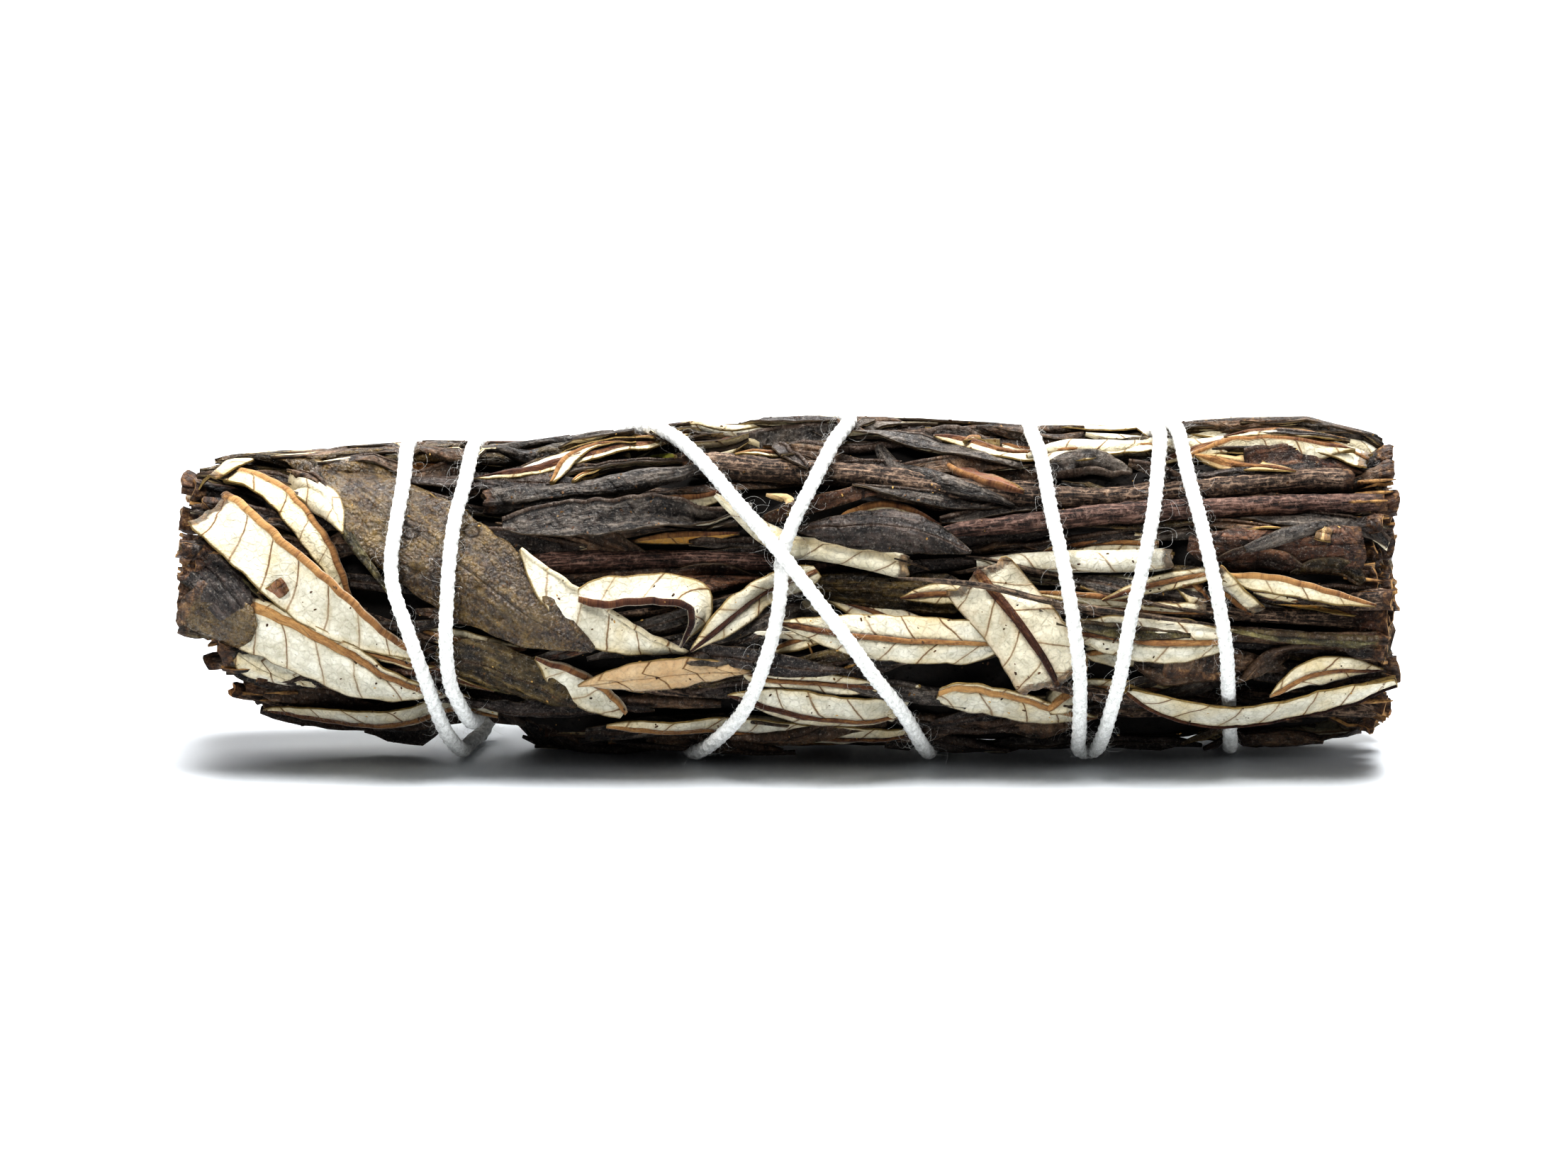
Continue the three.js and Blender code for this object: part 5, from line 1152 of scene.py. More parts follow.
def plainDry(name, deep, light, scale, depth, roughness):
    # a dry cut or inner surface, mottled and porous
    material, tree, shader = newMaterial(name)
    position = addNode(tree, "ShaderNodeTexCoord", give=3)
    mottle = addNode(tree, "ShaderNodeTexNoise",
                     {"Vector": position, "Scale": scale, "Detail": 5.0, "Roughness": 0.7})
    pores = addNode(tree, "ShaderNodeTexVoronoi", {"Vector": position, "Scale": scale * 2.2})
    poreMask = addNode(tree, "ShaderNodeValToRGB", {0: pores}, stops=[(0.1, 1.0), (0.3, 0.0)])
    colour = addNode(tree, "ShaderNodeValToRGB", {0: mottle}, stops=[(0.35, deep), (0.68, light)])
    colour = paint(tree, colour, [(deep, scaled(tree, poreMask, 0.5))])
    return finishMaterial(material, tree, shader, colour, roughness,
                          [(mottle, depth), (poreMask, -0.5 * depth)])


def spunCotton():
    # soft spun cotton: bright, matt and faintly fibrous, with a pale sheen at its edges
    material, tree, shader = newMaterial("cotton_spun_soft")
    position = addNode(tree, "ShaderNodeTexCoord", give=3)
    fibre = addNode(tree, "ShaderNodeTexNoise",
                    {"Vector": position, "Scale": 3200.0, "Detail": 3.0, "Roughness": 0.7})
    colour = addNode(tree, "ShaderNodeValToRGB", {0: fibre}, stops=[(0.32, "#c9c9c4"), (0.6, "#f3f3f0")])
    return finishMaterial(material, tree, shader, colour, 0.95, [(fibre, 0.14)],
                          Sheen_Weight=0.5, Sheen_Roughness=0.4, Specular_IOR_Level=0.2)


felts = {skin: feltedUnderside(skin) for skin in feltColours}
resins = {skin: resinousUpper(skin) for skin in resinColours}
barks = {
    "bark": driedBark("bark_dark_dried", "#120c0a", "#584539", "#c2a890"),
    "redBark": driedBark("bark_reddish_dried", "#180d0b", "#5f443a", "#a88c7e"),
    "twig": driedBark("bark_thin_twig", "#241b17", "#625345", "#a38c74"),
    "ochre": driedBark("bark_orange_brown", "#5b3c20", "#8e6338", "#b98e58"),
    "strawStem": driedBark("bark_straw", "#6a4c28", "#a98248", "#cfac74"),
}
cutWood = plainDry("bark_cut_wood", "#5f3c22", "#b88c5c", 1400.0, 0.1, 0.85)
leafEdge = plainDry("felted_underside_edge", "#5e4c2a", "#96804e", 1500.0, 0.05, 0.8)
darkEdge = plainDry("resinous_upper_side_edge", "#1d140c", "#4a3a26", 1500.0, 0.05, 0.7)
# Near-black all over: painted shade deep in the gaps between the leaves.
shadedLeaves = plainDry("packed_leaves_shaded", "#080605", "#1d1610", 700.0, 0.3, 0.9)
cotton = spunCotton()


def skinMaterials(skin):
    # what shows outside, inside and on the rim
    if skin in felts:
        return [felts[skin], resins["brownish"], leafEdge]
    if skin in resins:
        return [resins[skin], felts["cream"], darkEdge]
    if skin == "straw" or skin == "strawStem":
        return [barks["strawStem"], cutWood, cutWood]
    return [barks[skin], cutWood, cutWood]


def skinSlots(names, first=()):
    # the materials of several skins in one list, and where each skin's three stand in it
    materials, slots = list(first), {}
    for skin in names:
        slots[skin] = [len(materials) + k for k in range(3)]
        materials += skinMaterials(skin)
    return materials, slots


def skinOf(node):
    if node in skins:
        return skins[node]
    kind = node.split("_")[0]
    return {"stem": "bark", "twig": "twig", "pale": "felt", "dark": "olive", "brown": "rust"}[kind]


def prepare(strip, name, skin):
    # fills in what a strip doesn't say itself
    seed = sum((k + 1) * ord(letter) for k, letter in enumerate(name))
    if strip["form"] == "stem" and skin == "straw":
        skin = "strawStem"
    feltOut = skin in felts
    finish = ribs.get(name, (0.45, 0.35) if feltOut else (0.3, 0.2))
    if name in plainOnes:
        finish = (0.0, 0.0)
    return dict({"rib": 0}, **strip, seed=seed, feltOut=feltOut, ribFinish=finish, skin=skin)


def makeNamedPieces():
    # the CAD's leaves and stems, each made finer in its own place
    for piece in [leafOverString] + pieces:
        name, parts, materials = piece["node"], [], []
        for k, strip in enumerate(piece.get("strips", [piece])):
            skin = strip.get("skin", skinOf(name))
            strip = prepare({key: strip[key] for key in strip if key not in ("node", "skin")}, name, skin)
            slots = [len(materials), len(materials) + 1, len(materials) + 2]
            materials += skinMaterials(strip["skin"])
            parts.append(makeStrip(strip, rankOf[name], rankOf[name], slots))
        obj = makeObject("leaf_" + name if "leaf" in name else "wood_" + name, parts, materials)
        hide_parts(name)
    print("named pieces:", len(pieces) + 1)


def makeSmallPieces():
    for name, form, width, rib, ends, skin, side, node, route in smallPieces:
        strip = prepare(dict(form=form, width=width, rib=rib, ends=ends.split(), route=route), name, skin)
        if name in raised:
            strip.update(lift=raised[name], limit=True)
        rank = rankOf[node] + (0.5 if side == "under" else -0.5)
        part = makeStrip(strip, rank, None, [0, 1, 2])
        skin = strip["skin"]
        obj = makeObject(name, [part], skinMaterials(skin))
    print("small pieces:", len(smallPieces))


makeNamedPieces()
makeSmallPieces()


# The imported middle: a dark body, small leaves in the gaps, and the two cut ends

packing = {
    "seed": 21,
    "rows": 11,  # small leaves along the stick
    "columns": 26,  # and round it
    "leafLength": (9, 22),
    "leafWidth": (0.9, 2.3),
    "lift": (0.15, 1.35),
    "slant": 17,  # degrees to either side
    "span": (-47, 47),  # where the rows lie
    "reach": (-49.3, 49.4),  # how far a leaf may go to either end
    "shortest": 4,  # a leaf that would reach less far along the stick is left out
    "feltWithin": 41,  # the photo shows no felt nearer the ends
    "ridgeEnd": 49.3,
    "ridges": [  # from x to x, from angle to angle, how many, in which skins, how far they lift
        (-46, 44, 88, 104, 34, "charcoal black brownish felt olive brownish", (0.2, 2.2)),
        (-49, -34, 76, 108, 14, "bigOlive olive brownish cream bigOlive", (0.6, 2.4)),
        (-33, -22, 84, 104, 7, "rust brownish charcoal", (0.6, 2.4)),
        (-12, 14, 86, 104, 9, "charcoal black brownish", (1.0, 2.6)),
        (30, 46, 86, 108, 9, "felt charcoal felt brownish", (0.6, 2.2)),
        (-20, 44, 104, 128, 16, "charcoal felt brownish olive", (0.2, 1.2)),
        # Low down the ridges take only dark skins: dark leaves, and also painted shade at the foot of the
        # bundle.
        (-36, -6, -104, -56, 20, "black charcoal brownish", (0.3, 1.8)),
        (-31, -16, -112, -76, 8, "black charcoal brownish", (0.8, 2.2)),
    ],
    "skins": ["charcoal", "black", "brownish", "olive", "felt", "black", "cream", "brownish", "rust",
              "charcoal", "felt", "bark", "charcoal", "bark", "black", "brownish"],
}


darkBody = {
    "from": -43.2, "to": 46.81, "step": 0.9,  # mm along the stick
    "degrees": 4.5,  # from column to column round it
    "sunk": 0.4,  # mm under the CAD's middle
    "ripple": 0.3,
}


def countTriangles(obj):
    return sum(len(p.vertices) - 2 for p in obj.data.polygons)


def noReadings(points):
    nothing = np.zeros(points.shape[:2])
    return {key: nothing for key in ("along", "across", "margin", "rib", "vein", "ribTone", "tone", "cut")}


def makeDarkBody():
    # what shows between the leaves, a little under the CAD's middle, near-black as painted shade
    xs = np.arange(darkBody["from"], darkBody["to"], darkBody["step"])
    angles = np.arange(0, 360, darkBody["degrees"])
    core = rankOf["packed_leaves"]
    radii = np.array([[max([outer for rank, outer, _ in layersAt(x, a) if rank == core] or [9.0])
                       for a in angles] for x in xs])
    ripple = darkBody["ripple"] * bumps(xs[:, None] / 4, np.cos(np.radians(angles))[None] * 12 + 30, 1.2, 4)
    points = toSpace(xs[:, None], angles[None], radii - darkBody["sunk"] + ripple)
    return tubePart(points, [0, 0], noReadings(points), dish=0.05)


def makeRidge():
    # long leaf edges that bulge out between the turns of string, high up and low down
    pick = np.random.default_rng(packing["seed"] + 1)
    materials, slotsOf = skinSlots(sorted(set(packing["skins"] + ["bigOlive"])))
    parts = []
    for first, last, low, high, count, skins, lifts in packing["ridges"]:
        for k in range(count):
            x = first + (last - first) * (k + pick.uniform(0, 0.8)) / count
            angle, length, turn = pick.uniform(low, high), pick.uniform(8, 15), pick.uniform(-7, 7)
            route = [(min(x + share * length, packing["ridgeEnd"]), angle + turn * share
                      + pick.uniform(-3, 3))
                     for share in (0, 0.4, 0.7, 1)]
            form = pick.choice(["fold", "roll", "fold"])
            skin = skins.split()[pick.integers(len(skins.split()))]
            strip = prepare(dict(form=form, width=pick.uniform(0.9, 2.0), ends=("point", "taper"),
                                 route=route, rib=1 if form == "fold" else 0, mesh=(0.8, 0.95),
                                 lift=pick.uniform(*lifts), limit=True, gap=0.05),
                            f"ridge{k}", skin)
            parts.append(makeStrip(strip, rankOf["string"] + 0.5, None, slotsOf[skin]))
    obj = makeObject("packed_ridge_leaves", parts, materials)
    print("ridge leaves:", len(parts), "triangles:", countTriangles(obj))


def makeFillers():
    random = np.random.default_rng(packing["seed"])
    between = lambda pair: random.uniform(*pair)
    low, high = packing["span"]
    leftmost, rightmost = packing["reach"]
    materials, slotsOf = skinSlots(sorted(set(packing["skins"])), [shadedLeaves])
    parts = [makeDarkBody()]
    for row in range(packing["rows"]):
        for column in range(packing["columns"]):
            x = low + (high - low) * (row + random.uniform(0, 0.9)) / packing["rows"] - 5
            angle = 360 * (column + random.uniform(0, 1)) / packing["columns"]
            length = between(packing["leafLength"])
            slant = math.radians(between((-packing["slant"], packing["slant"])))
            bend = between((-0.5, 0.5))
            route = []
            for share in (0, 0.33, 0.67, 1):
                ahead, sideways = share * length, bend * 4 * share * (1 - share)
                px = x + ahead * math.cos(slant) - sideways * math.sin(slant)
                arc = ahead * math.sin(slant) + sideways * math.cos(slant)
                px = min(max(px, leftmost + cutBack(angle, 11)), rightmost)
                route.append((px, angle + arc / arcPerDegree(x)))
            form = ["fold", "roll", "blade", "fold", "blade"][int(between((0, 5)))]
            skin = packing["skins"][int(between((0, len(packing["skins"]))))]
            lift, width = between(packing["lift"]), between(packing["leafWidth"])
            if abs(route[0][0] - route[-1][0]) < packing["shortest"]:
                continue
            if skin == "bark":
                form, width = "stem", 0.6 * width
            # Felt at the foot of the bundle is swapped for dark leaves: painted shade.
            below = 285 < angle % 360 < 335  # in the photo the foot of the bundle is dark
            among = 18 < angle % 360 < 64 and -28 < x < 14  # and so is the upper middle
            outermost = max(abs(route[0][0]), abs(route[-1][0]))
            if skin in felts and (below or among or outermost > packing["feltWithin"]):
                skin = "brownish"
            ends = [("point", "taper"), ("taper", "taper"), ("taper", "point")][(row + column) % 3]
            strip = prepare(dict(form=form, width=width, ends=ends, route=route, lift=lift,
                                 rib=1 if form == "fold" else 0, mesh=(0.95, 1.1), limit=True),
                            f"filler{row:02d}{column:02d}", skin)
            if form == "blade":
                strip["ribFinish"] = (0.35, 0.4)
            parts.append(makeStrip(strip, rankOf["packed_leaves"] - 0.5, None, slotsOf[skin]))
    obj = makeObject("packed_small_leaves", parts, materials)
    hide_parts("packed_leaves")
    print("small leaves in the gaps:", len(parts) - 1, "triangles:", countTriangles(obj))


cutEnds = {
    "count": 84,
    "radius": {-1: 9.6, 1: 11.8},
    "reach": {-1: (48.0, 50.2), 1: (47.6, 50.2)},
    "seed": 8,
    "plunge": 0.035,  # how fast a roll goes in towards the middle behind its tip
    "splinters": 34,
    "middle": 13.75,  # mm, the height that the rolls lie round
    "rollRows": [(6.5, 0.85), (4, 0.92), (2.2, 0.97), (1.2, 1), (0.6, 1.02), (0.25, 1.05),
                 (0, 1.06)],  # mm behind the tip, how wide it has opened there
    "splinterRows": [(3.0, 1.0), (1.8, 1.0), (0.9, 0.8), (0.0, 0.35)],  # mm behind the tip, thickness
    "rollGap": 0.5,  # mm kept to the outline
    "splinterGap": 0.4,
    "cutBack": 5.5,  # mm that the lower left is shorter
}
tornEdge = plainDry("packed_leaves_torn_edge", "#4a3120", "#b08c5a", 1100.0, 0.1, 0.85)


def cutBack(angle, away):
    # how much shorter the bundle is at its lower left
    low = -math.sin(math.radians(angle)) * away / 10
    return cutEnds["cutBack"] * min(1, max(0, (low - 0.1) / 0.45))


def insideOutline(points, gap):
    # squeezes what would stand out of the bundle or under the floor back in
    x, y, z = points[..., 0], points[..., 1], points[..., 2] - axisHeight(points[..., 0])
    away, angle = np.hypot(y, z), np.degrees(np.arctan2(z, -y))
    squeezed = np.minimum(away, freeRadius(x, angle) - gap)
    return toSpace(x, angle, squeezed)


def endRoll(side, k, pick):
    # one rolled or folded leaf, or hollow stalk, along the stick and cut off at the end
    count = cutEnds["count"]
    away = cutEnds["radius"][side] * math.sqrt((k + 0.5) / count)
    around = math.radians(k * 137.5 + pick.uniform(-8, 8))
    kind = pick.choice(["roll", "flat", "stalk", "flat", "roll", "flat"])
    tall = {"roll": pick.uniform(0.6, 1.2), "flat": pick.uniform(0.3, 0.6),
            "stalk": pick.uniform(0.6, 1.1)}[kind]
    broad = {"roll": tall * pick.uniform(0.9, 1.4), "flat": pick.uniform(0.8, 1.7), "stalk": tall}[kind]
    turns = {"roll": pick.uniform(1.2, 2.1), "flat": pick.uniform(0.8, 1.4), "stalk": 0.99}[kind]
    thickness = {"roll": 0.28, "flat": 0.3, "stalk": 0.34}[kind]
    tip = pick.uniform(*cutEnds["reach"][side])
    if side < 0:
        tip -= cutBack(math.degrees(around), away)
    turn = around + math.pi / 2 + pick.uniform(-0.5, 0.5)
    columns = max(10, int(turns * math.pi * (tall + broad) / 0.5))
    t = np.linspace(0, 1, columns)
    phi = 2 * math.pi * turns * t + pick.uniform(0, 6)
    shrink = 1 - 0.3 * max(turns - 0.6, 0) * t
    wide, high = broad * shrink * np.cos(phi), tall * shrink * np.sin(phi)
    behind, opening = np.array(cutEnds["rollRows"]).T
    xs = tip - behind
    a, h = wide * opening[:, None], high * opening[:, None]
    torn = 0.4 * bumps(t * columns * 0.5, k, 1.3, k) + 0.22 * bumps(t * columns * 0.5, k, 0.5, k + 4)
    fade = np.linspace(0, 1, len(xs))[:, None] ** 3
    out = (away * (1 - cutEnds["plunge"] * (tip - xs)) + 0.3 * bumps(xs, k, 1.6, k))[:, None]
    middleY, middleZ = -out * math.cos(around), cutEnds["middle"] + out * math.sin(around)
    crumple = 0.22 * bumps(xs[:, None], t * columns * 0.5, 1.5, k)
    points = np.stack([
        side * (xs[:, None] + torn * fade) + 0 * a,
        middleY + a * math.cos(turn) - h * math.sin(turn) + crumple,
        middleZ + a * math.sin(turn) + h * math.cos(turn) + crumple], axis=-1)
    points = insideOutline(points, cutEnds["rollGap"])
    along = np.broadcast_to(xs[:, None], a.shape)
    if side < 0:
        points, along = points[::-1], along[::-1]
    row = len(xs) // 2
    if np.sum(gridNormals(points)[row] * (points[row] - points[row].mean(axis=0))) < 0:
        points = points[:, ::-1]
    arc = np.broadcast_to(t * turns * 2 * math.pi * broad, a.shape)
    readings = {"along": along, "across": arc, "margin": 0.6 + 0 * a, "rib": 0 * a,
                "vein": along / 3.3 + 0.2 * arc,
                "ribTone": 0 * a, "tone": np.full(a.shape, pick.uniform(-1, 1)), "cut": tip - along}
    return kind, points, thickness, readings


def splinter(side, pick):
    # a thin broken sliver that stands out of the cut end
    around = pick.uniform(0, 2 * math.pi)
    away = cutEnds["radius"][side] * math.sqrt(pick.uniform(0.1, 1.05))
    tip = cutEnds["reach"][side][1] + pick.uniform(-1.6, 0.1)
    if side < 0:
        tip -= cutBack(math.degrees(around), away)
    behind, thickness = np.array(cutEnds["splinterRows"]).T[:, :, None]
    xs = tip - behind
    radius = pick.uniform(0.1, 0.24) * thickness
    phi = np.linspace(0, 2 * math.pi, 6, endpoint=False)[None]
    lean = pick.uniform(-0.12, 0.12, 2)
    y = -away * math.cos(around) + lean[0] * (xs - tip) + radius * np.cos(phi) * 1.5
    z = cutEnds["middle"] + away * math.sin(around) + lean[1] * (xs - tip) + radius * np.sin(phi)
    points = np.stack([side * (xs + 0.15 * np.cos(phi)), y, z], axis=-1)
    points = insideOutline(points, cutEnds["splinterGap"])
    readings = noReadings(points)
    readings.update(along=readings["along"] + xs, cut=readings["cut"] + tip - xs)
    return tubePart(points if side < 0 else points[:, ::-1], [0, 0], readings, dish=0.05)


def makeCutEnd(side):
    pick = np.random.default_rng(cutEnds["seed"] + side)
    choices = ["charcoal", "brownish", "rust", "black", "brownish", "olive", "charcoal", "black"]
    materials = [tornEdge, barks["bark"]]
    slotsOf = {}
    for skin in choices:
        slotsOf[skin] = [len(materials), len(materials) + 1]
        materials += skinMaterials(skin)[:2]
    parts = []
    for k in range(cutEnds["count"]):
        kind, points, thickness, readings = endRoll(side, k, pick)
        skin = choices[pick.integers(len(choices))]
        slots = [1, 1, 0] if kind == "stalk" else slotsOf[skin] + [0]
        parts.append(sheetPart(points, np.full(points.shape[:2], thickness), slots, readings))
    parts += [splinter(side, pick) for _ in range(cutEnds["splinters"])]
    obj = makeObject("cut_end_left" if side < 0 else "cut_end_right", parts, materials)
    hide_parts("packed_leaves")
    print("cut end:", len(parts), "pieces, triangles:", countTriangles(obj))


makeFillers()
makeRidge()
makeCutEnd(-1)
makeCutEnd(1)


# The string

cord = {
    "radius": 0.62,  # mm, to the middle of the strands' outsides
    "radiusInCad": 0.65,
    "sunk": 0.05,  # mm that its middle lies below the bundle's outline
    "lowest": 0.67,  # mm, how near its middle comes to the floor
    "lobe": 0.06,  # how far the three strands stand out, as a share of the radius
    "pitch": 3.6,  # mm for one turn of the twist
    "fuzz": {"length": 0.8, "radius": 0.007, "density": 2.4, "segments": 3, "seed": 3},  # density per mm2
    "fibresInside": [(-1, -0.0149, 0.0001), (1, 0.0149, 0.029)],  # m, the box that they are pressed into
    "strays": {"length": 2.0, "radius": 0.0075, "density": 0.6, "segments": 6, "seed": 8},
}


def stringPath():
    # the middle of the string, from where the rays meet the CAD's string
    path = followRoute(stringRoute, 0.5)
    rank, previous = rankOf["string"], None
    radii = []
    for x, angle in zip(path["x"], path["angle"]):
        runs = [(outer, inner) for layerRank, outer, inner in layersAt(x, angle) if layerRank == rank]
        options = [r for outer, inner in runs
                   for r in (outer - cord["radiusInCad"], inner + cord["radiusInCad"])]
        free = float(radiusAt(x)) - cord["sunk"]
        near = previous if previous is not None else free
        best = min(options, key=lambda r: abs(r - near)) if options else near
        if abs(best - near) > 0.9:
            best = near
        radii.append(best)
        previous = best
    radii = smoothRows(np.array(radii)[:, None], 2.5)[:, 0]
    points = toSpace(path["x"], path["angle"], radii)
    points[:, 2] = np.maximum(points[:, 2], cord["lowest"])
    return points


def knotPath():
    # a small trefoil, as in the CAD
    x, angle = knotPlace
    t = np.linspace(0, 2 * math.pi, 60, endpoint=False)
    size = 0.64
    along, across = np.sin(t) + 2 * np.sin(2 * t), np.cos(t) - 2 * np.cos(2 * t)
    r = float(radiusAt(x)) + 0.3 - np.sin(3 * t) * size
    return toSpace(x + along * size, angle + across * size / arcPerDegree(x), r)


def tailPath(route):
    path = followRoute(route, 0.4)
    return toSpace(path["x"], path["angle"], radiusAt(path["x"]) - cord["sunk"])


def newGroup(name, values):
    # a node group that takes a geometry and named sizes, and gives a geometry
    tree = bpy.data.node_groups.new(name, "GeometryNodeTree")
    tree.interface.new_socket("Geometry", in_out="INPUT", socket_type="NodeSocketGeometry")
    for key, value in values.items():
        socket = tree.interface.new_socket(key, in_out="INPUT", socket_type="NodeSocketFloat")
        socket.default_value = value
    tree.interface.new_socket("Geometry", in_out="OUTPUT", socket_type="NodeSocketGeometry")
    return tree, tree.nodes.new("NodeGroupInput")


def scatterPoints(tree, given, seed):
    # points all over a surface, as many per square metre as the group's Density says
    scatter = tree.nodes.new("GeometryNodeDistributePointsOnFaces")
    tree.links.new(given.outputs["Geometry"], scatter.inputs["Mesh"])
    tree.links.new(given.outputs["Density"], scatter.inputs["Density"])
    scatter.inputs["Seed"].default_value = seed
    return scatter


def finishGroup(tree, geometry, material):
    finished = addNode(tree, "GeometryNodeSetMaterial", {"Geometry": geometry, "Material": material})
    tree.links.new(finished, tree.nodes.new("NodeGroupOutput").inputs[0])
    return tree


def cordTree():
    # a round cord of three twisted strands along the curves it is given
    tree, given = newGroup("twisted cotton string", {
        "Radius": cord["radius"] * 0.001, "Lobe": cord["lobe"], "Pitch": cord["pitch"] * 0.001})
    length = addNode(tree, "GeometryNodeSplineParameter", give=1)
    turns = addNode(tree, "ShaderNodeMath", {0: length, 1: given.outputs["Pitch"]}, operation="DIVIDE")
    tilt = addNode(tree, "ShaderNodeMath", {0: turns, 1: 2 * math.pi}, operation="MULTIPLY")
    twisted = addNode(tree, "GeometryNodeSetCurveTilt", {"Curve": given.outputs["Geometry"], "Tilt": tilt})
    profile = addNode(tree, "GeometryNodeCurvePrimitiveCircle",
                      {"Resolution": 18, "Radius": given.outputs["Radius"]})
    position = addNode(tree, "GeometryNodeInputPosition")
    split = tree.nodes.new("ShaderNodeSeparateXYZ")
    tree.links.new(position, split.inputs[0])
    around = addNode(tree, "ShaderNodeMath", {0: split.outputs[1], 1: split.outputs[0]}, operation="ARCTAN2")
    thrice = addNode(tree, "ShaderNodeMath", {0: around, 1: 3.0}, operation="MULTIPLY")
    wave = addNode(tree, "ShaderNodeMath", {0: thrice}, operation="COSINE")
    share = addNode(tree, "ShaderNodeMath", {0: wave, 1: given.outputs["Lobe"]}, operation="MULTIPLY")
    offset = addNode(tree, "ShaderNodeVectorMath", {0: position, "Scale": share}, operation="SCALE")
    lobed = addNode(tree, "GeometryNodeSetPosition", {"Geometry": profile, "Offset": offset})
    swept = addNode(tree, "GeometryNodeCurveToMesh",
                    {"Curve": twisted, "Profile Curve": lobed, "Fill Caps": True})
    real = addNode(tree, "GeometryNodeRealizeInstances", {"Geometry": swept})
    smooth = addNode(tree, "GeometryNodeSetShadeSmooth", {"Geometry": real})
    return finishGroup(tree, smooth, cotton)


def fibreTree(kind):
    # loose cotton fibres standing off a surface
    tree, given = newGroup("loose fibres", {
        "Length": kind["length"] * 0.001, "Density": kind["density"] * 1e6})
    scatter = scatterPoints(tree, given, kind["seed"])
    arc = addNode(tree, "GeometryNodeCurveQuadraticBezier", {
        "Resolution": kind["segments"], "Start": (0, 0, 0), "Middle": (0.35, 0.5, 0.75),
        "End": (1.0, -0.1, 0.35)})
    ring = addNode(tree, "GeometryNodeCurvePrimitiveCircle", {
        "Resolution": 3, "Radius": kind["radius"] / kind["length"]})
    fibre = addNode(tree, "GeometryNodeCurveToMesh", {"Curve": arc, "Profile Curve": ring, "Fill Caps": True})
    spin = addNode(tree, "FunctionNodeRandomValue",
                   {"Min": (-0.9, -0.9, 0.0), "Max": (0.9, 0.9, 6.3), "Seed": 5},
                   data_type="FLOAT_VECTOR")
    turned = addNode(tree, "FunctionNodeRotateEuler", {0: scatter.outputs["Rotation"], 1: spin},
                     space="LOCAL")
    size = addNode(tree, "FunctionNodeRandomValue", {2: 0.3, 3: 1.0, "Seed": 9}, give=1, data_type="FLOAT")
    scaledSize = addNode(tree, "ShaderNodeMath", {0: size, 1: given.outputs["Length"]}, operation="MULTIPLY")
    placed = addNode(tree, "GeometryNodeInstanceOnPoints", {
        "Points": scatter.outputs["Points"], "Instance": fibre, "Rotation": turned, "Scale": scaledSize})
    real = addNode(tree, "GeometryNodeRealizeInstances", {"Geometry": placed})
    low, high = cord["fibresInside"]
    position = addNode(tree, "GeometryNodeInputPosition")  # pressed flat where they'd reach the floor
    kept = addNode(tree, "ShaderNodeVectorMath", {0: position, 1: low}, operation="MAXIMUM")
    kept = addNode(tree, "ShaderNodeVectorMath", {0: kept, 1: high}, operation="MINIMUM")
    pressed = addNode(tree, "GeometryNodeSetPosition", {"Geometry": real, "Position": kept})
    return finishGroup(tree, pressed, cotton)


def applyTree(source, tree, name):
    # runs a tree on an object and keeps the result as a plain mesh
    modifier = source.modifiers.new("nodes", "NODES")
    modifier.node_group = tree
    view = bpy.context.evaluated_depsgraph_get()
    view.update()
    mesh = bpy.data.meshes.new_from_object(source.evaluated_get(view), depsgraph=view)
    source.modifiers.remove(modifier)
    obj = bpy.data.objects.new(name, mesh)
    bpy.context.scene.collection.objects.link(obj)
    mesh.name = name
    if not mesh.materials:
        mesh.materials.append(cotton)
    return obj


def makeString():
    curve = bpy.data.curves.new("string path", "CURVE")
    curve.dimensions = "3D"
    paths = [(stringPath(), False), (knotPath(), True)] + [(tailPath(route), False) for route in tailRoutes]
    for points, closed in paths:
        spline = curve.splines.new("POLY")
        spline.points.add(len(points) - 1)
        flat = np.column_stack([points * 0.001, np.ones(len(points))]).reshape(-1)
        spline.points.foreach_set("co", flat)
        spline.use_cyclic_u = closed
    source = bpy.data.objects.new("string path", curve)
    bpy.context.scene.collection.objects.link(source)
    obj = applyTree(source, cordTree(), "cotton_string")
    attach(obj, "root")
    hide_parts("string")
    for kind in ("fuzz", "strays"):
        fibres = applyTree(obj, fibreTree(cord[kind]), "cotton_" + kind)
        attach(fibres, "root")
        print("cotton", kind, len(fibres.data.polygons), "faces")
    bpy.data.objects.remove(source)
    lengths = np.linalg.norm(np.diff(paths[0][0], axis=0), axis=1).sum()
    print("string:", round(float(lengths)), "mm,", len(obj.data.polygons), "faces")


makeString()


# Crumbs: chips of leaf and bark that lie on the outside

crumbKinds = {  # name: size in mm, how many per mm2, seed, the material
    "crumbs_bark": (0.22, 0.1, 4, barks["bark"]),
    "crumbs_felt": (0.2, 0.07, 5, felts["cream"]),
    "crumbs_straw": (0.17, 0.05, 6, plainDry("dry_straw_chips", "#8a6432", "#d8b878", 1600.0, 0.1, 0.8)),
}


bundleMiddle = (0, 0, 0.0143)  # m
outsideFrom = 0.0105  # m, how far from the middle crumbs begin


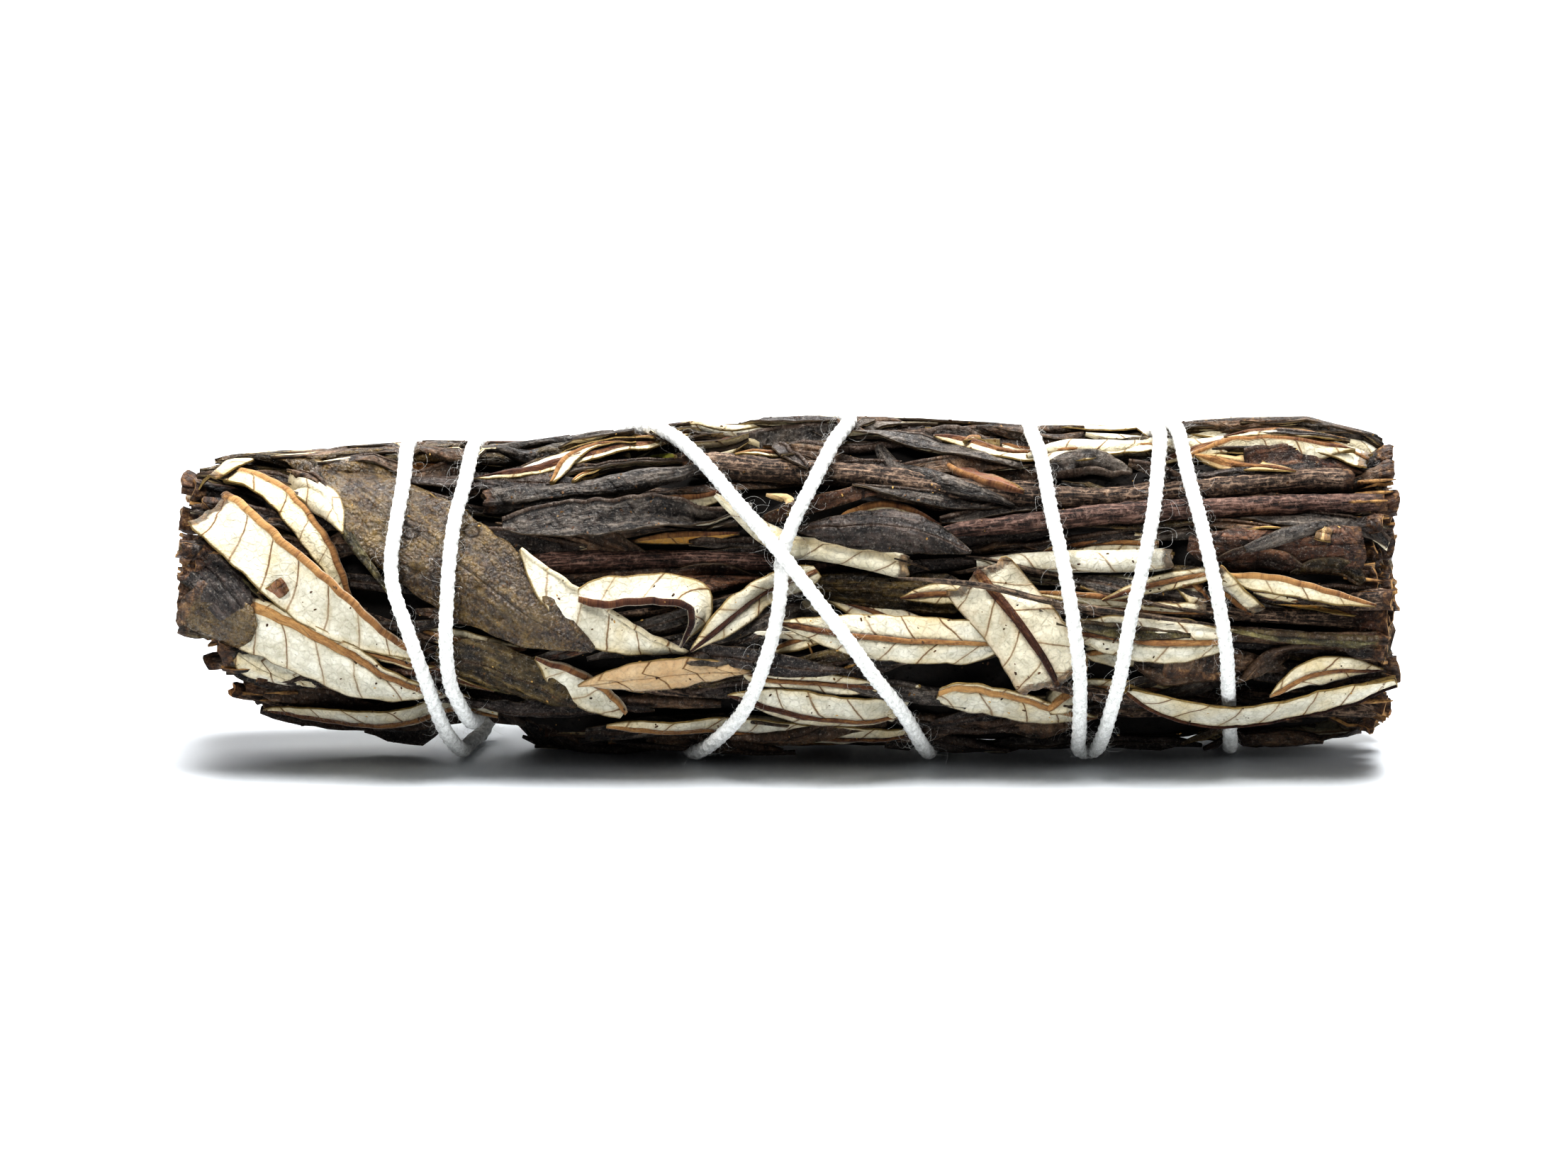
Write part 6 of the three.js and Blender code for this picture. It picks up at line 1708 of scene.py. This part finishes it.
def outsideMesh():
    # the faces that crumbs may lie on: those whose middles lie near the outline
    corners, faces = [], []
    for obj in sorted(bpy.data.objects, key=lambda one: one.name):
        if obj.type != "MESH" or not obj.name.startswith(("leaf_", "wood_", "packed_")):
            continue
        flat = np.empty(len(obj.data.vertices) * 3)
        obj.data.vertices.foreach_get("co", flat)
        middle = np.empty(len(obj.data.polygons) * 3)
        obj.data.polygons.foreach_get("center", middle)
        middle = middle.reshape(-1, 3) - bundleMiddle
        near = np.hypot(middle[:, 1], middle[:, 2]) > outsideFrom
        first = sum(len(block) for block in corners)
        corners.append(flat.reshape(-1, 3))
        faces += [[first + k for k in face.vertices] for face, kept in zip(obj.data.polygons, near) if kept]
    mesh = bpy.data.meshes.new("outside")
    mesh.from_pydata(np.vstack(corners).tolist(), [], faces)
    obj = bpy.data.objects.new("outside", mesh)
    bpy.context.scene.collection.objects.link(obj)
    return obj


def crumbTree(size, density, seed, material):
    # flat uneven chips, kept only where nothing lies above them
    tree, given = newGroup("crumbs", {"Size": size * 0.001, "Density": density * 1e6})
    scatter = scatterPoints(tree, given, seed)
    position = addNode(tree, "GeometryNodeInputPosition")
    out = addNode(tree, "ShaderNodeVectorMath", {0: position, 1: bundleMiddle}, operation="SUBTRACT")
    away = addNode(tree, "ShaderNodeVectorMath", {0: out, 1: (0, 1, 1)}, operation="MULTIPLY")
    outward = addNode(tree, "ShaderNodeVectorMath", {0: away}, operation="NORMALIZE")
    start = addNode(tree, "ShaderNodeVectorMath", {0: outward, 1: (0.0002, 0.0002, 0.0002), 2: position},
                    operation="MULTIPLY_ADD")
    ray = tree.nodes.new("GeometryNodeRaycast")
    tree.links.new(given.outputs["Geometry"], ray.inputs["Target Geometry"])
    tree.links.new(outward, ray.inputs["Ray Direction"])
    tree.links.new(start, ray.inputs["Source Position"])
    ray.inputs["Ray Length"].default_value = 0.01
    shown = addNode(tree, "GeometryNodeDeleteGeometry",
                    {"Geometry": scatter.outputs["Points"], "Selection": ray.outputs["Is Hit"]},
                    domain="POINT")
    ball = addNode(tree, "GeometryNodeMeshIcoSphere", {"Radius": 1.0, "Subdivisions": 1})
    uneven = addNode(tree, "ShaderNodeTexNoise", {"Vector": position, "Scale": 1.3}, give=1)
    dent = addNode(tree, "ShaderNodeVectorMath", {0: uneven, 1: (0.5, 0.5, 0.5)}, operation="SUBTRACT")
    dented = addNode(tree, "GeometryNodeSetPosition", {"Geometry": ball, "Offset": dent})
    chip = addNode(tree, "GeometryNodeTransform", {"Geometry": dented, "Scale": (1.0, 0.55, 0.16)})
    spin = addNode(tree, "FunctionNodeRandomValue",
                   {"Min": (-0.3, -0.3, 0.0), "Max": (0.3, 0.3, 6.3), "Seed": 2},
                   data_type="FLOAT_VECTOR")
    turned = addNode(tree, "FunctionNodeRotateEuler", {0: scatter.outputs["Rotation"], 1: spin},
                     space="LOCAL")
    big = addNode(tree, "FunctionNodeRandomValue", {2: 0.3, 3: 1.0, "Seed": 7}, give=1, data_type="FLOAT")
    full = addNode(tree, "ShaderNodeMath", {0: big, 1: given.outputs["Size"]}, operation="MULTIPLY")
    placed = addNode(tree, "GeometryNodeInstanceOnPoints", {
        "Points": shown, "Instance": chip, "Rotation": turned, "Scale": full})
    real = addNode(tree, "GeometryNodeRealizeInstances", {"Geometry": placed})
    return finishGroup(tree, real, material)


def makeCrumbs():
    outside = outsideMesh()
    for name, (size, density, seed, material) in crumbKinds.items():
        obj = applyTree(outside, crumbTree(size, density, seed, material), name)
        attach(obj, "root")
        print(name, len(obj.data.polygons), "faces")
    bpy.data.objects.remove(outside)


makeCrumbs()


# Floor, light and camera

def makeStage():
    bpy.ops.mesh.primitive_plane_add(size=6, location=(0, 0, -0.0001))
    floor = bpy.context.object
    floor.name = "floor"
    material, tree, shader = newMaterial("floor_white_card")
    shader.inputs["Base Color"].default_value = linear("#eef2f6")
    shader.inputs["Roughness"].default_value = 0.35
    shader.inputs["Specular IOR Level"].default_value = 0.3
    floor.data.materials.append(material)


def addLight(name, place, target, size, power, colour="#ffffff"):
    data = bpy.data.lights.new(name, "AREA")
    data.shape = "RECTANGLE"
    data.size, data.size_y = size
    data.energy = power
    data.color = linear(colour)[:3]
    obj = bpy.data.objects.new(name, data)
    obj.location = place
    obj.rotation_euler = (Vector(target) - Vector(place)).to_track_quat("-Z", "Y").to_euler()
    bpy.context.scene.collection.objects.link(obj)
    return obj


def makeLights():
    world = bpy.data.worlds.new("studio")
    world.use_nodes = True
    world.node_tree.nodes["Background"].inputs[0].default_value = linear("#f6f8fb")
    world.node_tree.nodes["Background"].inputs[1].default_value = 0.14
    bpy.context.scene.world = world
    middle = (0, 0, 0.014)
    key = addLight("key", (-0.25, -0.4, 0.55), middle, (0.16, 0.14), 3.0)
    flag = bpy.data.collections.new("floor, kept out of the key light")
    flag.objects.link(bpy.data.objects["floor"])
    key.light_linking.receiver_collection = flag
    flag.collection_objects[0].light_linking.link_state = "EXCLUDE"
    addLight("top", (0.05, 0.04, 0.7), middle, (0.5, 0.35), 9.2)
    addLight("right", (0.6, -0.3, 0.3), middle, (0.3, 0.3), 0.9)
    addLight("back", (0.0, 0.6, 0.45), middle, (0.7, 0.3), 3.0)


camera = {"distance": 1.0, "elevation": 12.0, "aim": (-0.00035, 0.0, 0.0138), "frameWidth": 0.1302}


def makeCamera():
    data = bpy.data.cameras.new("camera")
    data.sensor_width = 36.0
    data.lens = 36.0 * camera["distance"] / camera["frameWidth"]
    data.clip_start, data.clip_end = 0.01, 20
    obj = bpy.data.objects.new("camera", data)
    e = math.radians(camera["elevation"])
    aim = Vector(camera["aim"])
    obj.location = aim + Vector((0, -math.cos(e), math.sin(e))) * camera["distance"]
    obj.rotation_euler = (aim - obj.location).to_track_quat("-Z", "Y").to_euler()
    bpy.context.scene.collection.objects.link(obj)
    bpy.context.scene.camera = obj


makeStage()
makeLights()
makeCamera()
bpy.context.scene.view_settings.view_transform = "Standard"
bpy.context.scene.view_settings.look = "High Contrast"
